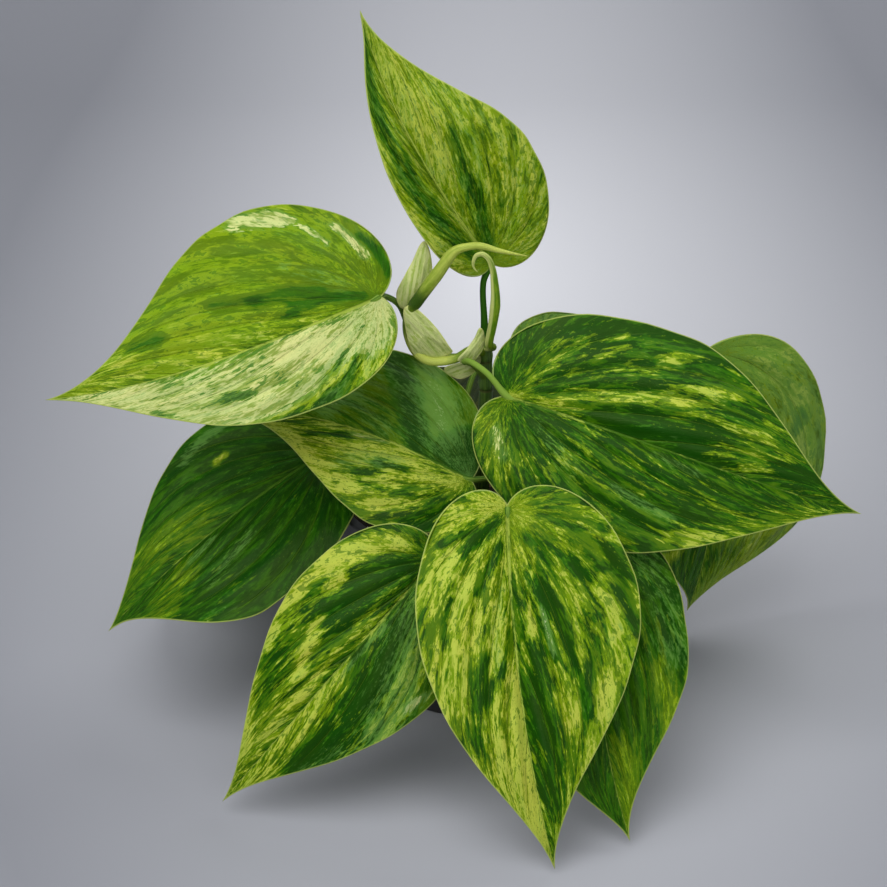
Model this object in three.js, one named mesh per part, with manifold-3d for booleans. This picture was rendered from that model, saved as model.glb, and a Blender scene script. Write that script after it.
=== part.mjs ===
// Potted heartleaf philodendron, variegated form, in a plain grower's pot.
// Millimetres, +Z up. The origin is the middle of the pot's underside, and the front faces -Y.

import * as THREE from 'three';
import * as BufferGeometryUtils from 'three/addons/utils/BufferGeometryUtils.js';
import Module from 'manifold-3d';

const wasm = await Module();
wasm.setup();

// Pot: a tapered grower's pot with a rolled rim band and drain holes round a flat centre
const POT_HEIGHT = 70;
const POT_RIM_RADIUS = 45;
const POT_BASE_RADIUS = 31;
const POT_WALL = 1.6;
const POT_FLOOR = 2.4;
const RIM_BAND = 11;
const RIM_STEP = 1.6;
const FOOT_WIDTH = 4;
const FOOT_RECESS = 1.4;
const CENTRE_PAD_RADIUS = 9;
const DRAIN_HOLES = 6;
const DRAIN_RADIUS = 3.5;
const DRAIN_CIRCLE = 19;
const DRAIN_SIDES = 12;
const EDGE_ROUND = 0.8;
const POT_SEGMENTS = 40;

// Soil: fills the pot to a little under the rim, and each stem stands in a hole of its own
const SOIL_LEVEL = 61;
const SOIL_MOUND = 3;
const SOIL_LUMP = 0.9;
const SOIL_RINGS = 6;
const STEM_DEPTH = 26;

// Plant
const GAP = 0.3;
const BLADE_THICKNESS = 0.8;
const STALK_FOOT_RADIUS = 1.7;
const STALK_END_RADIUS = 1.1;
const STALK_INTO_BLADE = 0.06;
const STEM_SIDES = 8;
const STALK_SIDES = 6;
const STEM_STEPS = 10;
const STALK_STEPS = 10;

// Grid of a blade: points round the lobe, points on to the tip, and rings from the stalk outwards
const LEAF_GRID = { lobe: 6, tip: 7, rings: 3 };
const SHEATH_GRID = { lobe: 3, tip: 5, rings: 2 };

const DEGREE = Math.PI / 180;
const TURN = 2 * Math.PI;
const LEFT = 0;
const RIGHT = 1;

const vec = (point) => new THREE.Vector3(...point);
const smoothCurve = (points) => new THREE.CatmullRomCurve3(points.map(vec), false, 'centripetal');

// Closed surfaces

function surfaceOf(positions, indices) {
  const geometry = new THREE.BufferGeometry();
  geometry.setAttribute('position', new THREE.Float32BufferAttribute(positions, 3));
  geometry.setIndex(indices);
  return geometry;
}

function solidOf(geometry) {
  const plain = geometry.clone();
  plain.deleteAttribute('normal');
  plain.deleteAttribute('uv');
  const merged = BufferGeometryUtils.mergeVertices(plain, 1e-4);
  const vertProperties = new Float32Array(merged.attributes.position.array);
  const triVerts = new Uint32Array(merged.index.array);
  return new wasm.Manifold(new wasm.Mesh({ numProp: 3, vertProperties, triVerts }));
}

function geometryOf(solid) {
  const mesh = solid.getMesh();
  return surfaceOf(Array.from(mesh.vertProperties), Array.from(mesh.triVerts));
}

// A tube along a curve, closed at both ends. The radius is a function of the way along it, and the
// tube may stop a little short of the curve's end.
function tube(curve, radiusAt, steps, sides, short = 0) {
  const positions = [];
  const indices = [];
  const frames = curve.computeFrenetFrames(steps, false);
  const stop = 1 - short / curve.getLength();
  for (let i = 0; i <= steps; i++) {
    const centre = curve.getPointAt((i / steps) * stop);
    const radius = radiusAt(i / steps);
    for (let j = 0; j < sides; j++) {
      const angle = (j / sides) * TURN;
      const point = centre.clone();
      point.addScaledVector(frames.normals[i], radius * Math.cos(angle));
      point.addScaledVector(frames.binormals[i], radius * Math.sin(angle));
      positions.push(...point.toArray());
    }
  }
  const startCentre = positions.length / 3;
  const endCentre = startCentre + 1;
  positions.push(...curve.getPointAt(0).toArray(), ...curve.getPointAt(stop).toArray());
  for (let j = 0; j < sides; j++) {
    const next = (j + 1) % sides;
    for (let i = 0; i < steps; i++) {
      const a = i * sides + j;
      const b = i * sides + next;
      indices.push(a, b, b + sides, a, b + sides, a + sides);
    }
    indices.push(startCentre, next, j);
    indices.push(endCentre, steps * sides + j, steps * sides + next);
  }
  return surfaceOf(positions, indices);
}

const taper = (from, to) => (way) => from + (to - from) * way;

// Heart-shaped blades

// Half of the outline, in units of the blade's length from stalk to tip. It runs from the notch at
// the stalk, round the lobe and the widest place, to the drawn-out tip.
const NOTCH = 0.012;
const LOBE_BACK = 1.75;
const LOBE_START_WIDTH = 0.2;
const LOBE_SIDE_BACK = 0.35;
const DRIP_WIDTH = 0.1;

function halfOutline(leaf, side) {
  const wide = leaf.wide[side] / leaf.length;
  const lobe = leaf.lobe[side];
  const belly = leaf.belly[side];
  const widest = new THREE.Vector2(belly, wide);
  const lobeArc = new THREE.CubicBezierCurve(
    new THREE.Vector2(-NOTCH, 0),
    new THREE.Vector2(-LOBE_BACK * lobe, LOBE_START_WIDTH * wide),
    new THREE.Vector2(-LOBE_SIDE_BACK * lobe, wide),
    widest,
  );
  const tipArc = new THREE.CubicBezierCurve(
    widest,
    new THREE.Vector2(belly + leaf.shoulder[side], wide),
    new THREE.Vector2(leaf.drip[side], DRIP_WIDTH * wide),
    new THREE.Vector2(1, 0),
  );
  return [...lobeArc.getPoints(leaf.grid.lobe), ...tipArc.getPoints(leaf.grid.tip).slice(1)];
}

const WAVE_START = 0.3;
const WAVE_SHIFT = 0.37;

// The blade as a surface. A point is given by u, along the midrib from the stalk to the tip, and v,
// out from the midrib towards the left margin, both in units of the blade's length.
function bladeSurface(leaf) {
  const base = vec(leaf.base);
  const tip = vec(leaf.tip);
  const along = tip.clone().sub(base).normalize();
  const left = vec(leaf.face).cross(along).normalize();
  const up = along.clone().cross(left);
  const control = (share, index) => base.clone().lerp(tip, share)
    .addScaledVector(up, leaf.arch[index])
    .addScaledVector(left, leaf.sweep[index]);
  const midrib = new THREE.CubicBezierCurve3(base, control(1 / 3, 0), control(2 / 3, 1), tip);
  return (u, v) => {
    const side = v < 0 ? RIGHT : LEFT;
    const tangent = midrib.getTangent(Math.max(u, 0));
    const point = midrib.getPoint(Math.max(u, 0));
    point.addScaledVector(tangent, Math.min(u, 0) * leaf.length);
    const out = left.clone().addScaledVector(tangent, -left.dot(tangent)).normalize();
    const rise = tangent.clone().cross(out);
    const reach = Math.abs(v) * leaf.length;
    const share = reach / leaf.wide[side];
    const open = leaf.fold[side] * DEGREE;
    const bend = leaf.curl[side] * DEGREE;
    const radius = leaf.wide[side] / bend;
    const across = radius * (Math.sin(open + bend * share) - Math.sin(open));
    const lift = radius * (Math.cos(open) - Math.cos(open + bend * share));
    const phase = TURN * (leaf.waves * u + WAVE_START + WAVE_SHIFT * side);
    const wave = leaf.wave * share ** 2 * Math.sin(phase);
    point.addScaledVector(out, side === LEFT ? across : -across);
    return point.addScaledVector(rise, lift + wave);
  };
}

// Both faces of a blade are split into the same triangles, and a narrow rim joins them
function bladeGeometry(leaf) {
  const { rings } = leaf.grid;
  const surface = bladeSurface(leaf);
  const outline = halfOutline(leaf, LEFT).map((point) => [point.x, point.y]);
  halfOutline(leaf, RIGHT).slice(1, -1).reverse().forEach((point) => outline.push([point.x, -point.y]));
  const around = outline.length;
  const middle = [surface(0, 0)];
  for (let ring = 1; ring <= rings; ring++) {
    const share = ring / rings;
    outline.forEach(([u, v]) => middle.push(surface(u * share, v * share)));
  }
  const at = (ring, k) => 1 + (ring - 1) * around + (k % around);
  const faces = [];
  for (let k = 0; k < around; k++) {
    faces.push([0, at(1, k + 1), at(1, k)]);
    for (let ring = 1; ring < rings; ring++) {
      const [a, b] = [at(ring, k), at(ring, k + 1)];
      const [c, d] = [at(ring + 1, k + 1), at(ring + 1, k)];
      if (k * 2 < around) faces.push([a, b, c], [a, c, d]);
      else faces.push([a, b, d], [b, c, d]);
    }
  }
  const normals = middle.map(() => new THREE.Vector3());
  faces.forEach(([a, b, c]) => {
    const edge = middle[c].clone().sub(middle[a]);
    const normal = middle[b].clone().sub(middle[a]).cross(edge);
    [a, b, c].forEach((corner) => normals[corner].add(normal));
  });
  const positions = [];
  [BLADE_THICKNESS / 2, -BLADE_THICKNESS / 2].forEach((offset) => middle.forEach((point, i) => {
    positions.push(...point.clone().addScaledVector(normals[i].clone().normalize(), offset).toArray());
  }));
  const under = middle.length;
  const indices = [];
  faces.forEach(([a, b, c]) => indices.push(a, b, c, under + a, under + c, under + b));
  for (let k = 0; k < around; k++) {
    const a = at(rings, k);
    const b = at(rings, k + 1);
    indices.push(a, b, under + b, a, under + b, under + a);
  }
  return surfaceOf(positions, indices);
}

// Stems: short vines that rise from the soil. Their points are chosen by hand.
const STEM_FOOT = SOIL_LEVEL - STEM_DEPTH;
const STEMS = {
  stem_main: {
    radius: [2.7, 2.1],
    points: [[4, 6, STEM_FOOT], [4, 6, 70], [5, 6, 98], [4.5, 3, 121]],
  },
  stem_left: {
    radius: [2.4, 1.9],
    points: [[-10, 9, STEM_FOOT], [-10, 9, 70], [-12, 12, 86], [-14, 14, 100]],
  },
  stem_front: {
    radius: [2.4, 1.9],
    points: [[15, -13, STEM_FOOT], [15, -13, 66], [15, -14, 80], [16, -16, 92]],
  },
  stem_right: {
    radius: [2.4, 1.9],
    points: [[21, 6, STEM_FOOT], [21, 6, 70], [22, 8, 90], [24, 10, 102]],
  },
  stem_back: {
    radius: [2.4, 1.9],
    points: [[-2, 26, STEM_FOOT], [-2, 26, 70], [-3, 27, 80], [-5, 29, 90]],
  },
};
const stemCurves = Object.fromEntries(
  Object.entries(STEMS).map(([name, stem]) => [name, smoothCurve(stem.points)]),
);

// Leaves. base and tip: the two ends of the midrib. face: the way the upper side looks.
// wide: half widths, left and right as seen from the stalk. lobe: how far each lobe reaches back.
// belly: place of the widest point. shoulder, drip: how full each half is towards the tip.
// fold: rise of each half out of the flat, in degrees, and curl: its further turn by the margin.
// arch, sweep: bow of the midrib, up and to the left, in two places. wave: height of the margin's waves.
// stem, way: where the stalk leaves its stem, and stalk: the points it passes on its way to the base.
const COMMON = {
  lobe: [0.085, 0.085],
  belly: [0.29, 0.29],
  shoulder: [0.33, 0.33],
  drip: [0.8, 0.8],
  fold: [8, 8],
  curl: [-20, -20],
  arch: [8, 8],
  sweep: [0, 0],
  wave: 0.6,
  waves: 1.3,
  grid: LEAF_GRID,
};

const LEAVES = [
  {
    name: 'leaf_front', base: [10.4, -58, 96], tip: [24.7, -110, 2], face: [0, -0.87, 0.5],
    wide: [38, 29.5], lobe: [0.08, 0.065], shoulder: [0.28, 0.3],
    fold: [4, 22], curl: [-14, -14], sweep: [-4, -4.5],
    stem: 'stem_front', way: 0.9, stalk: [[14, -36, 82.4], [12, -50, 86]],
  },
  {
    name: 'leaf_lower_left', base: [-10.7, -58, 78], tip: [-76.6, -81, 4.5], face: [-0.1, -0.87, 0.5],
    wide: [28, 27.5], lobe: [0.08, 0.05], shoulder: [0.33, 0.28],
    stem: 'stem_front', way: 0.65, stalk: [[12, -36, 77], [3, -50, 78.5]],
  },
  {
    name: 'leaf_lower_right', base: [40.7, -42, 76.5], tip: [47.8, -98, 3], face: [0.1, -0.87, 0.5],
    wide: [28.5, 27], lobe: [0.05, 0.07], belly: [0.37, 0.29], shoulder: [0.3, 0.45], drip: [0.8, 0.86],
    sweep: [-9, -8],
    stem: 'stem_right', way: 0.6, stalk: [[32, -16, 89], [39, -32, 85]],
  },
  {
    name: 'leaf_right', base: [11.3, -20, 113], tip: [119.5, -40, 83.2], face: [-0.05, -0.8, 0.6],
    wide: [36, 36], belly: [0.36, 0.29], shoulder: [0.31, 0.3], sweep: [0, -3],
    stem: 'stem_main', way: 0.83, stalk: [[0, -3, 112], [-2.2, -9, 117], [0, -14, 122], [5, -17, 119.5]],
  },
  {
    name: 'leaf_left', base: [-28.4, -12, 142.9], tip: [-127.2, -40, 123.1], face: [0, -0.6, 0.8],
    wide: [25.5, 45], lobe: [0.025, 0.12], belly: [0.3, 0.22], shoulder: [0.33, 0.38], drip: [0.75, 0.74],
    sweep: [7, 12],
    stem: 'stem_main', way: 0.92,
    stalk: [
      [-0.9, 6, 113.2], [-8.1, 5, 113.8], [-14.5, 4, 116.9], [-18.9, 4, 123.5], [-22, 4, 132],
      [-26.4, -3, 139],
    ],
  },
  {
    name: 'leaf_center', base: [-0.6, -26, 87.3], tip: [-74.7, -10, 100.7], face: [0, -0.6, 0.8],
    wide: [27, 30.5], lobe: [0.08, 0.02], belly: [0.26, 0.38], shoulder: [0.3, 0.3], sweep: [-3, -8],
    stem: 'stem_front', way: 0.8, stalk: [[7, -20, 84]],
  },
  {
    name: 'leaf_far_left', base: [-46.5, 0, 82], tip: [-114.9, -35, 36.5], face: [-0.3, -0.55, 0.78],
    wide: [35, 35], belly: [0.45, 0.29], shoulder: [0.3, 0.25], fold: [10, 8],
    stem: 'stem_left', way: 0.75, stalk: [[-26, 12, 98], [-38, 5, 94]],
  },
  {
    name: 'leaf_right_back', base: [75.5, 8, 113.9], tip: [75, 20, 7], face: [0.35, -0.8, 0.45],
    wide: [43.5, 38], lobe: [0.03, 0.05], belly: [0.5, 0.3], sweep: [4, 4],
    stem: 'stem_main', way: 0.8, stalk: [[25, 11, 114], [58, 10, 118]],
  },
  {
    name: 'leaf_above_right', base: [17.7, 18, 104.9], tip: [74, 40, 79], face: [0.2, -0.5, 0.85],
    wide: [21, 22],
    stem: 'stem_right', way: 0.88, stalk: [[20, 15, 102]],
  },
  {
    name: 'leaf_top', base: [6, 10, 144.4], tip: [-33.6, 24, 221.5], face: [0.38, -0.87, 0.3],
    wide: [16, 31], lobe: [0.01, 0.085], shoulder: [0.46, 0.26],
    fold: [28, 25], curl: [-10, -14], arch: [5, 5], sweep: [6, 9],
    stem: 'stem_main', way: 1, stalk: [[4.2, 3.5, 128], [3.9, 6.5, 139]],
  },
  {
    name: 'leaf_back_left', base: [-30, 40, 88], tip: [-78, 76, 18], face: [-0.45, 0.5, 0.75],
    wide: [31, 31],
    stem: 'stem_back', way: 0.95, stalk: [[-14, 36, 94]],
  },
  {
    name: 'leaf_back', base: [6, 52, 82], tip: [14, 108, 12], face: [0.1, 0.75, 0.65],
    wide: [32, 32], sweep: [3, -2],
    stem: 'stem_back', way: 0.8, stalk: [[2, 42, 88]],
  },
  {
    name: 'leaf_back_right', base: [38, 40, 86], tip: [84, 84, 22], face: [0.5, 0.5, 0.7],
    wide: [30, 30],
    stem: 'stem_right', way: 0.7, stalk: [[28, 26, 92]],
  },
  {
    name: 'leaf_side_left', base: [-48, 26, 72], tip: [-104, 34, 4], face: [-0.75, 0.2, 0.6],
    wide: [29, 29],
    stem: 'stem_left', way: 0.6, stalk: [[-24, 20, 84], [-38, 25, 80]],
  },
];

// Pot and soil

const wallRadius = (height) => {
  const underBand = POT_RIM_RADIUS - RIM_STEP;
  return POT_BASE_RADIUS + ((underBand - POT_BASE_RADIUS) * height) / POT_HEIGHT;
};
const insideRadius = (height) => wallRadius(height) - POT_WALL;
const POT_INSIDE_FLOOR = FOOT_RECESS + POT_FLOOR;

function potSolid() {
  const bandLow = POT_HEIGHT - RIM_BAND;
  const footInside = POT_BASE_RADIUS - FOOT_WIDTH;
  const profile = [
    [0, 0],
    [CENTRE_PAD_RADIUS, 0],
    [CENTRE_PAD_RADIUS + FOOT_RECESS, FOOT_RECESS],
    [footInside - FOOT_RECESS, FOOT_RECESS],
    [footInside, 0],
    [POT_BASE_RADIUS, 0],
    [wallRadius(bandLow), bandLow],
    [POT_RIM_RADIUS - EDGE_ROUND, bandLow],
    [POT_RIM_RADIUS, bandLow + EDGE_ROUND],
    [POT_RIM_RADIUS, POT_HEIGHT - EDGE_ROUND],
    [POT_RIM_RADIUS - EDGE_ROUND, POT_HEIGHT],
    [insideRadius(POT_HEIGHT) + EDGE_ROUND, POT_HEIGHT],
    [insideRadius(POT_HEIGHT), POT_HEIGHT - EDGE_ROUND],
    [insideRadius(POT_INSIDE_FLOOR), POT_INSIDE_FLOOR],
    [0, POT_INSIDE_FLOOR],
  ];
  const points = profile.map(([radius, height]) => new THREE.Vector2(radius, height));
  let pot = solidOf(new THREE.LatheGeometry(points, POT_SEGMENTS).rotateX(Math.PI / 2));
  for (let i = 0; i < DRAIN_HOLES; i++) {
    const angle = (i / DRAIN_HOLES) * TURN;
    const hole = new THREE.CylinderGeometry(DRAIN_RADIUS, DRAIN_RADIUS, 3 * POT_INSIDE_FLOOR, DRAIN_SIDES);
    hole.rotateX(Math.PI / 2);
    hole.translate(DRAIN_CIRCLE * Math.cos(angle), DRAIN_CIRCLE * Math.sin(angle), 0);
    pot = pot.subtract(solidOf(hole));
  }
  return pot;
}

// The soil's top is a low mound with lumps, the sum of two crossed waves
const LUMP_WAVE = 0.3;
const SMALL_LUMP_WAVE = 0.4;

const soilTop = (x, y) => {
  const inwards = 1 - Math.hypot(x, y) / POT_RIM_RADIUS;
  const lumps = Math.sin(x * LUMP_WAVE) * Math.cos(y * LUMP_WAVE);
  const smallLumps = Math.sin((x - 2 * y) * SMALL_LUMP_WAVE) / 2;
  return SOIL_LEVEL + SOIL_MOUND * inwards + SOIL_LUMP * (lumps + smallLumps);
};

function soilGeometry() {
  const positions = [0, 0, soilTop(0, 0)];
  const indices = [];
  const floor = POT_INSIDE_FLOOR + GAP;
  const topRadius = insideRadius(SOIL_LEVEL - SOIL_MOUND) - GAP;
  for (let ring = 1; ring <= SOIL_RINGS + 1; ring++) {
    const below = ring > SOIL_RINGS;
    const radius = below ? insideRadius(floor) - GAP : (topRadius * ring) / SOIL_RINGS;
    for (let k = 0; k < POT_SEGMENTS; k++) {
      const angle = (k / POT_SEGMENTS) * TURN;
      const [x, y] = [radius * Math.cos(angle), radius * Math.sin(angle)];
      positions.push(x, y, below ? floor : soilTop(x, y));
    }
  }
  const under = positions.length / 3;
  positions.push(0, 0, floor);
  for (let k = 0; k < POT_SEGMENTS; k++) {
    const next = (k + 1) % POT_SEGMENTS;
    indices.push(0, 1 + k, 1 + next);
    for (let ring = 0; ring < SOIL_RINGS; ring++) {
      const a = 1 + ring * POT_SEGMENTS;
      const b = a + POT_SEGMENTS;
      indices.push(a + k, b + k, b + next, a + k, b + next, a + next);
    }
    const last = 1 + SOIL_RINGS * POT_SEGMENTS;
    indices.push(under, last + next, last + k);
  }
  return surfaceOf(positions, indices);
}

// A plain round hole in the soil for a stem that rises at x, y
const HOLE_SIDES = 12;
const HOLE_CLEARANCE = 0.75;

function stemHole(stem) {
  const [x, y] = stem.points[0];
  const radius = stem.radius[0] + HOLE_CLEARANCE;
  const hole = new THREE.CylinderGeometry(radius, radius, 2 * STEM_DEPTH, HOLE_SIDES);
  hole.rotateX(Math.PI / 2).translate(x, y, SOIL_LEVEL - GAP);
  return solidOf(hole);
}

// Young growth at the crown

// A shoot keeps its width along most of its length and narrows to a point over the last part
const SHOOT_END = 0.02;
const SHOOT_POINT_FORM = 0.6;

const shootRadius = (radius, pointed) => (way) =>
  radius * Math.min(1, (1 + SHOOT_END - way) / pointed) ** SHOOT_POINT_FORM;

// The runner: a pale new shoot that turns up through two pale sheath leaves and ends in a point
const RUNNER_POINTS = [
  [0, -1.5, 119.4], [-4.3, -3, 118.2], [-10, -4, 118], [-14, -4, 118.8], [-17.1, -3, 121.1],
  [-19.5, -2, 125.4], [-19.2, -3, 132.9], [-16.3, -5, 138.8], [-10.2, -7, 148.9], [-5, -8, 156.8],
  [-1.4, -8.5, 158.4], [2.5, -8.5, 158.7], [8.6, -8, 156.8], [16.8, -7, 154.6],
];
const RUNNER_WAY = 0.94;
const RUNNER_RADIUS = 1.75;
const RUNNER_POINTED = 0.3;

// The two sheath leaves on the runner, and the small bract at its foot
const SHEATHS = [
  {
    base: [-12.6, -5.4, 120.2], tip: [-20, -3.5, 136.6], face: [0.1, -0.87, 0.5],
    wide: [6.4, 7.6], lobe: [0.05, 0.05], belly: [0.3, 0.16], shoulder: [0.35, 0.4],
    fold: [10, 10], curl: [-30, -30], arch: [2, 2],
  },
  {
    base: [-19.3, -2.2, 131.6], tip: [-14.2, 1, 153.5], face: [0, -0.87, 0.5],
    wide: [5.2, 5], lobe: [0.02, 0.02], belly: [0.5, 0.5], shoulder: [0.2, 0.2], drip: [0.9, 0.9],
    fold: [10, 10], curl: [-30, -30], arch: [1, 1],
  },
  {
    base: [1, -1.4, 119], tip: [2.8, -3, 127.4], face: [0, -0.87, 0.5],
    wide: [1.7, 1.7], lobe: [0.02, 0.02], belly: [0.4, 0.4],
    fold: [10, 10], curl: [-30, -30], arch: [0.5, 0.5],
  },
];

// The curled leaf: a leaf still rolled up, its end hooked over
const CURL_POINTS = [
  [6.9, -1.8, 120.6], [5.7, -6, 124.2], [6.6, -9, 131.8], [7.4, -11, 140.7], [7.1, -12, 147.3],
  [6.3, -12.5, 153.3], [5, -13, 156.8], [3.2, -13, 158.2], [1.4, -13, 157.8], [0.5, -13, 156],
  [0.5, -13, 153.9], [1.7, -13, 152.2],
];
const CURL_WAY = 0.96;
const CURL_RADIUS = 1.7;
const CURL_POINTED = 0.25;

function stemClearance(name) {
  return solidOf(tube(stemCurves[name], () => STEMS[name].radius[0] + GAP, STEM_STEPS, STEM_SIDES));
}

function leafSolid(leaf) {
  const surface = bladeSurface(leaf);
  const foot = stemCurves[leaf.stem].getPointAt(leaf.way).toArray();
  const ends = [surface(0, 0).toArray(), surface(STALK_INTO_BLADE, 0).toArray()];
  const stalkCurve = smoothCurve([foot, ...leaf.stalk, ...ends]);
  const stalk = tube(stalkCurve, taper(STALK_FOOT_RADIUS, STALK_END_RADIUS), STALK_STEPS, STALK_SIDES);
  return solidOf(bladeGeometry(leaf)).add(solidOf(stalk)).subtract(stemClearance(leaf.stem));
}

function shootSolid(points, way, radiusAt) {
  const foot = stemCurves.stem_main.getPointAt(way).toArray();
  const shoot = tube(smoothCurve([foot, ...points]), radiusAt, 2 * points.length, STALK_SIDES);
  return solidOf(shoot).subtract(stemClearance('stem_main'));
}

// One node for each separate piece

const finish = (color, roughness) => new THREE.MeshStandardMaterial({ color, roughness, metalness: 0 });
const LEAF_GREEN = [0x5a9426, 0.42];
const STEM_GREEN = [0x4d7a2c, 0.5];
const YOUNG_GREEN = [0xb7cf6a, 0.45];
const POT_PLASTIC = [0x26282a, 0.6];
const DARK_SOIL = [0x33241a, 0.95];

const group = new THREE.Group();
function addNode(name, geometry, look) {
  const mesh = new THREE.Mesh(geometry, finish(...look));
  mesh.name = name;
  group.add(mesh);
}

const measured = (entry) => ({ ...entry, length: vec(entry.base).distanceTo(vec(entry.tip)) });

addNode('pot', geometryOf(potSolid()), POT_PLASTIC);

let soil = solidOf(soilGeometry());
Object.values(STEMS).forEach((stem) => {
  soil = soil.subtract(stemHole(stem));
});
addNode('soil', geometryOf(soil), DARK_SOIL);

Object.entries(STEMS).forEach(([name, stem]) => {
  const shape = tube(stemCurves[name], taper(...stem.radius), STEM_STEPS, STEM_SIDES, GAP);
  addNode(name, shape, STEM_GREEN);
});

LEAVES.forEach((entry) => {
  const leaf = measured({ ...COMMON, ...entry });
  addNode(leaf.name, geometryOf(leafSolid(leaf)), LEAF_GREEN);
});

let youngShoot = shootSolid(RUNNER_POINTS, RUNNER_WAY, shootRadius(RUNNER_RADIUS, RUNNER_POINTED));
SHEATHS.forEach((entry) => {
  const sheath = measured({ ...COMMON, wave: 0, grid: SHEATH_GRID, ...entry });
  youngShoot = youngShoot.add(solidOf(bladeGeometry(sheath)));
});
addNode('young_shoot', geometryOf(youngShoot), YOUNG_GREEN);

const curledLeaf = shootSolid(CURL_POINTS, CURL_WAY, shootRadius(CURL_RADIUS, CURL_POINTED));
addNode('curled_leaf', geometryOf(curledLeaf), YOUNG_GREEN);

export default group;
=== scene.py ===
# Potted heartleaf philodendron, variegated form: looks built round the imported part.
# Metres, +Z up, the front faces -Y. Tables give sizes in millimetres, as the part's source does.
import math

import bpy
import numpy as np
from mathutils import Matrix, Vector, noise


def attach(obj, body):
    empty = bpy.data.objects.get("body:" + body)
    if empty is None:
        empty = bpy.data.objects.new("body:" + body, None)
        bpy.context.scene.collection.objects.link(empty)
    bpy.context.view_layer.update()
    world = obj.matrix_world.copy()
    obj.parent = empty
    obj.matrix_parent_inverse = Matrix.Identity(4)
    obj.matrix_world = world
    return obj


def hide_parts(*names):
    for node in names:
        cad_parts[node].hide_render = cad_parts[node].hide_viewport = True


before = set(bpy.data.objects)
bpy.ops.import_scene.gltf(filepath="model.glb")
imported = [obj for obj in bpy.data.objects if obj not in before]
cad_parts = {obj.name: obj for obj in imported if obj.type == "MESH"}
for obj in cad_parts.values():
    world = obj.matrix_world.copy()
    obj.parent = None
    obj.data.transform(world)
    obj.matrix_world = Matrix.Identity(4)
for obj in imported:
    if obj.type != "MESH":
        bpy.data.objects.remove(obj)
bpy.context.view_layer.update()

# Grower's pot: one turned, injection-moulded shell with a rim band and six drain holes in its floor.
# Charcoal polypropylene, satin outside, with faint flow marks and dust in the band's corner.
MM = 0.001
TURN = 2 * math.pi


def srgb(red, green, blue):
    """A colour given as on a screen, as the linear one that shaders take."""
    def linear(value):
        value /= 255
        return value / 12.92 if value < 0.04045 else ((value + 0.055) / 1.055) ** 2.4
    return (linear(red), linear(green), linear(blue), 1)


def new_object(name, vertices, faces, material):
    """A smooth mesh object at the origin. Vertices come in millimetres."""
    mesh = bpy.data.meshes.new(name)
    mesh.from_pydata((np.asarray(vertices) * MM).tolist(), [], faces)
    mesh.polygons.foreach_set("use_smooth", [True] * len(mesh.polygons))
    mesh.materials.append(material)
    mesh.validate()
    made = bpy.data.objects.new(name, mesh)
    bpy.context.scene.collection.objects.link(made)
    return made


class Field:
    """A number that a shader works out at each point, so that a formula can be written as one."""

    def __init__(self, tree, socket):
        self.tree, self.socket = tree, socket

    def call(self, operation, *others, swap=False):
        """A Math node's operation on this field and others, each a field or a number."""
        node = self.tree.nodes.new("ShaderNodeMath")
        node.operation = operation
        values = (*others, self) if swap else (self, *others)
        for entry, value in zip(node.inputs, values):
            if isinstance(value, Field):
                self.tree.links.new(value.socket, entry)
            else:
                entry.default_value = value
        return Field(self.tree, node.outputs[0])

    def __add__(self, other):
        return self.call("ADD", other)

    def __sub__(self, other):
        return self.call("SUBTRACT", other)

    def __rsub__(self, other):
        return self.call("SUBTRACT", other, swap=True)

    def __mul__(self, other):
        return self.call("MULTIPLY", other)

    def __rmul__(self, other):
        return self.call("MULTIPLY", other)

    def __truediv__(self, other):
        return self.call("DIVIDE", other)

    def __rtruediv__(self, other):
        return self.call("DIVIDE", other, swap=True)

    def __pow__(self, other):
        return self.call("POWER", other)

    def __neg__(self):
        return self.call("MULTIPLY", -1)

    def rise(self, low, high, start=0, end=1):
        """From start to end as the value goes from low to high, with soft ends."""
        node = self.tree.nodes.new("ShaderNodeMapRange")
        node.interpolation_type = "SMOOTHSTEP"
        self.tree.links.new(self.socket, node.inputs["Value"])
        ends = {"From Min": low, "From Max": high, "To Min": start, "To Max": end}
        for entry, value in ends.items():
            if isinstance(value, Field):
                self.tree.links.new(value.socket, node.inputs[entry])
            else:
                node.inputs[entry].default_value = value
        return Field(self.tree, node.outputs["Result"])


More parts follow.
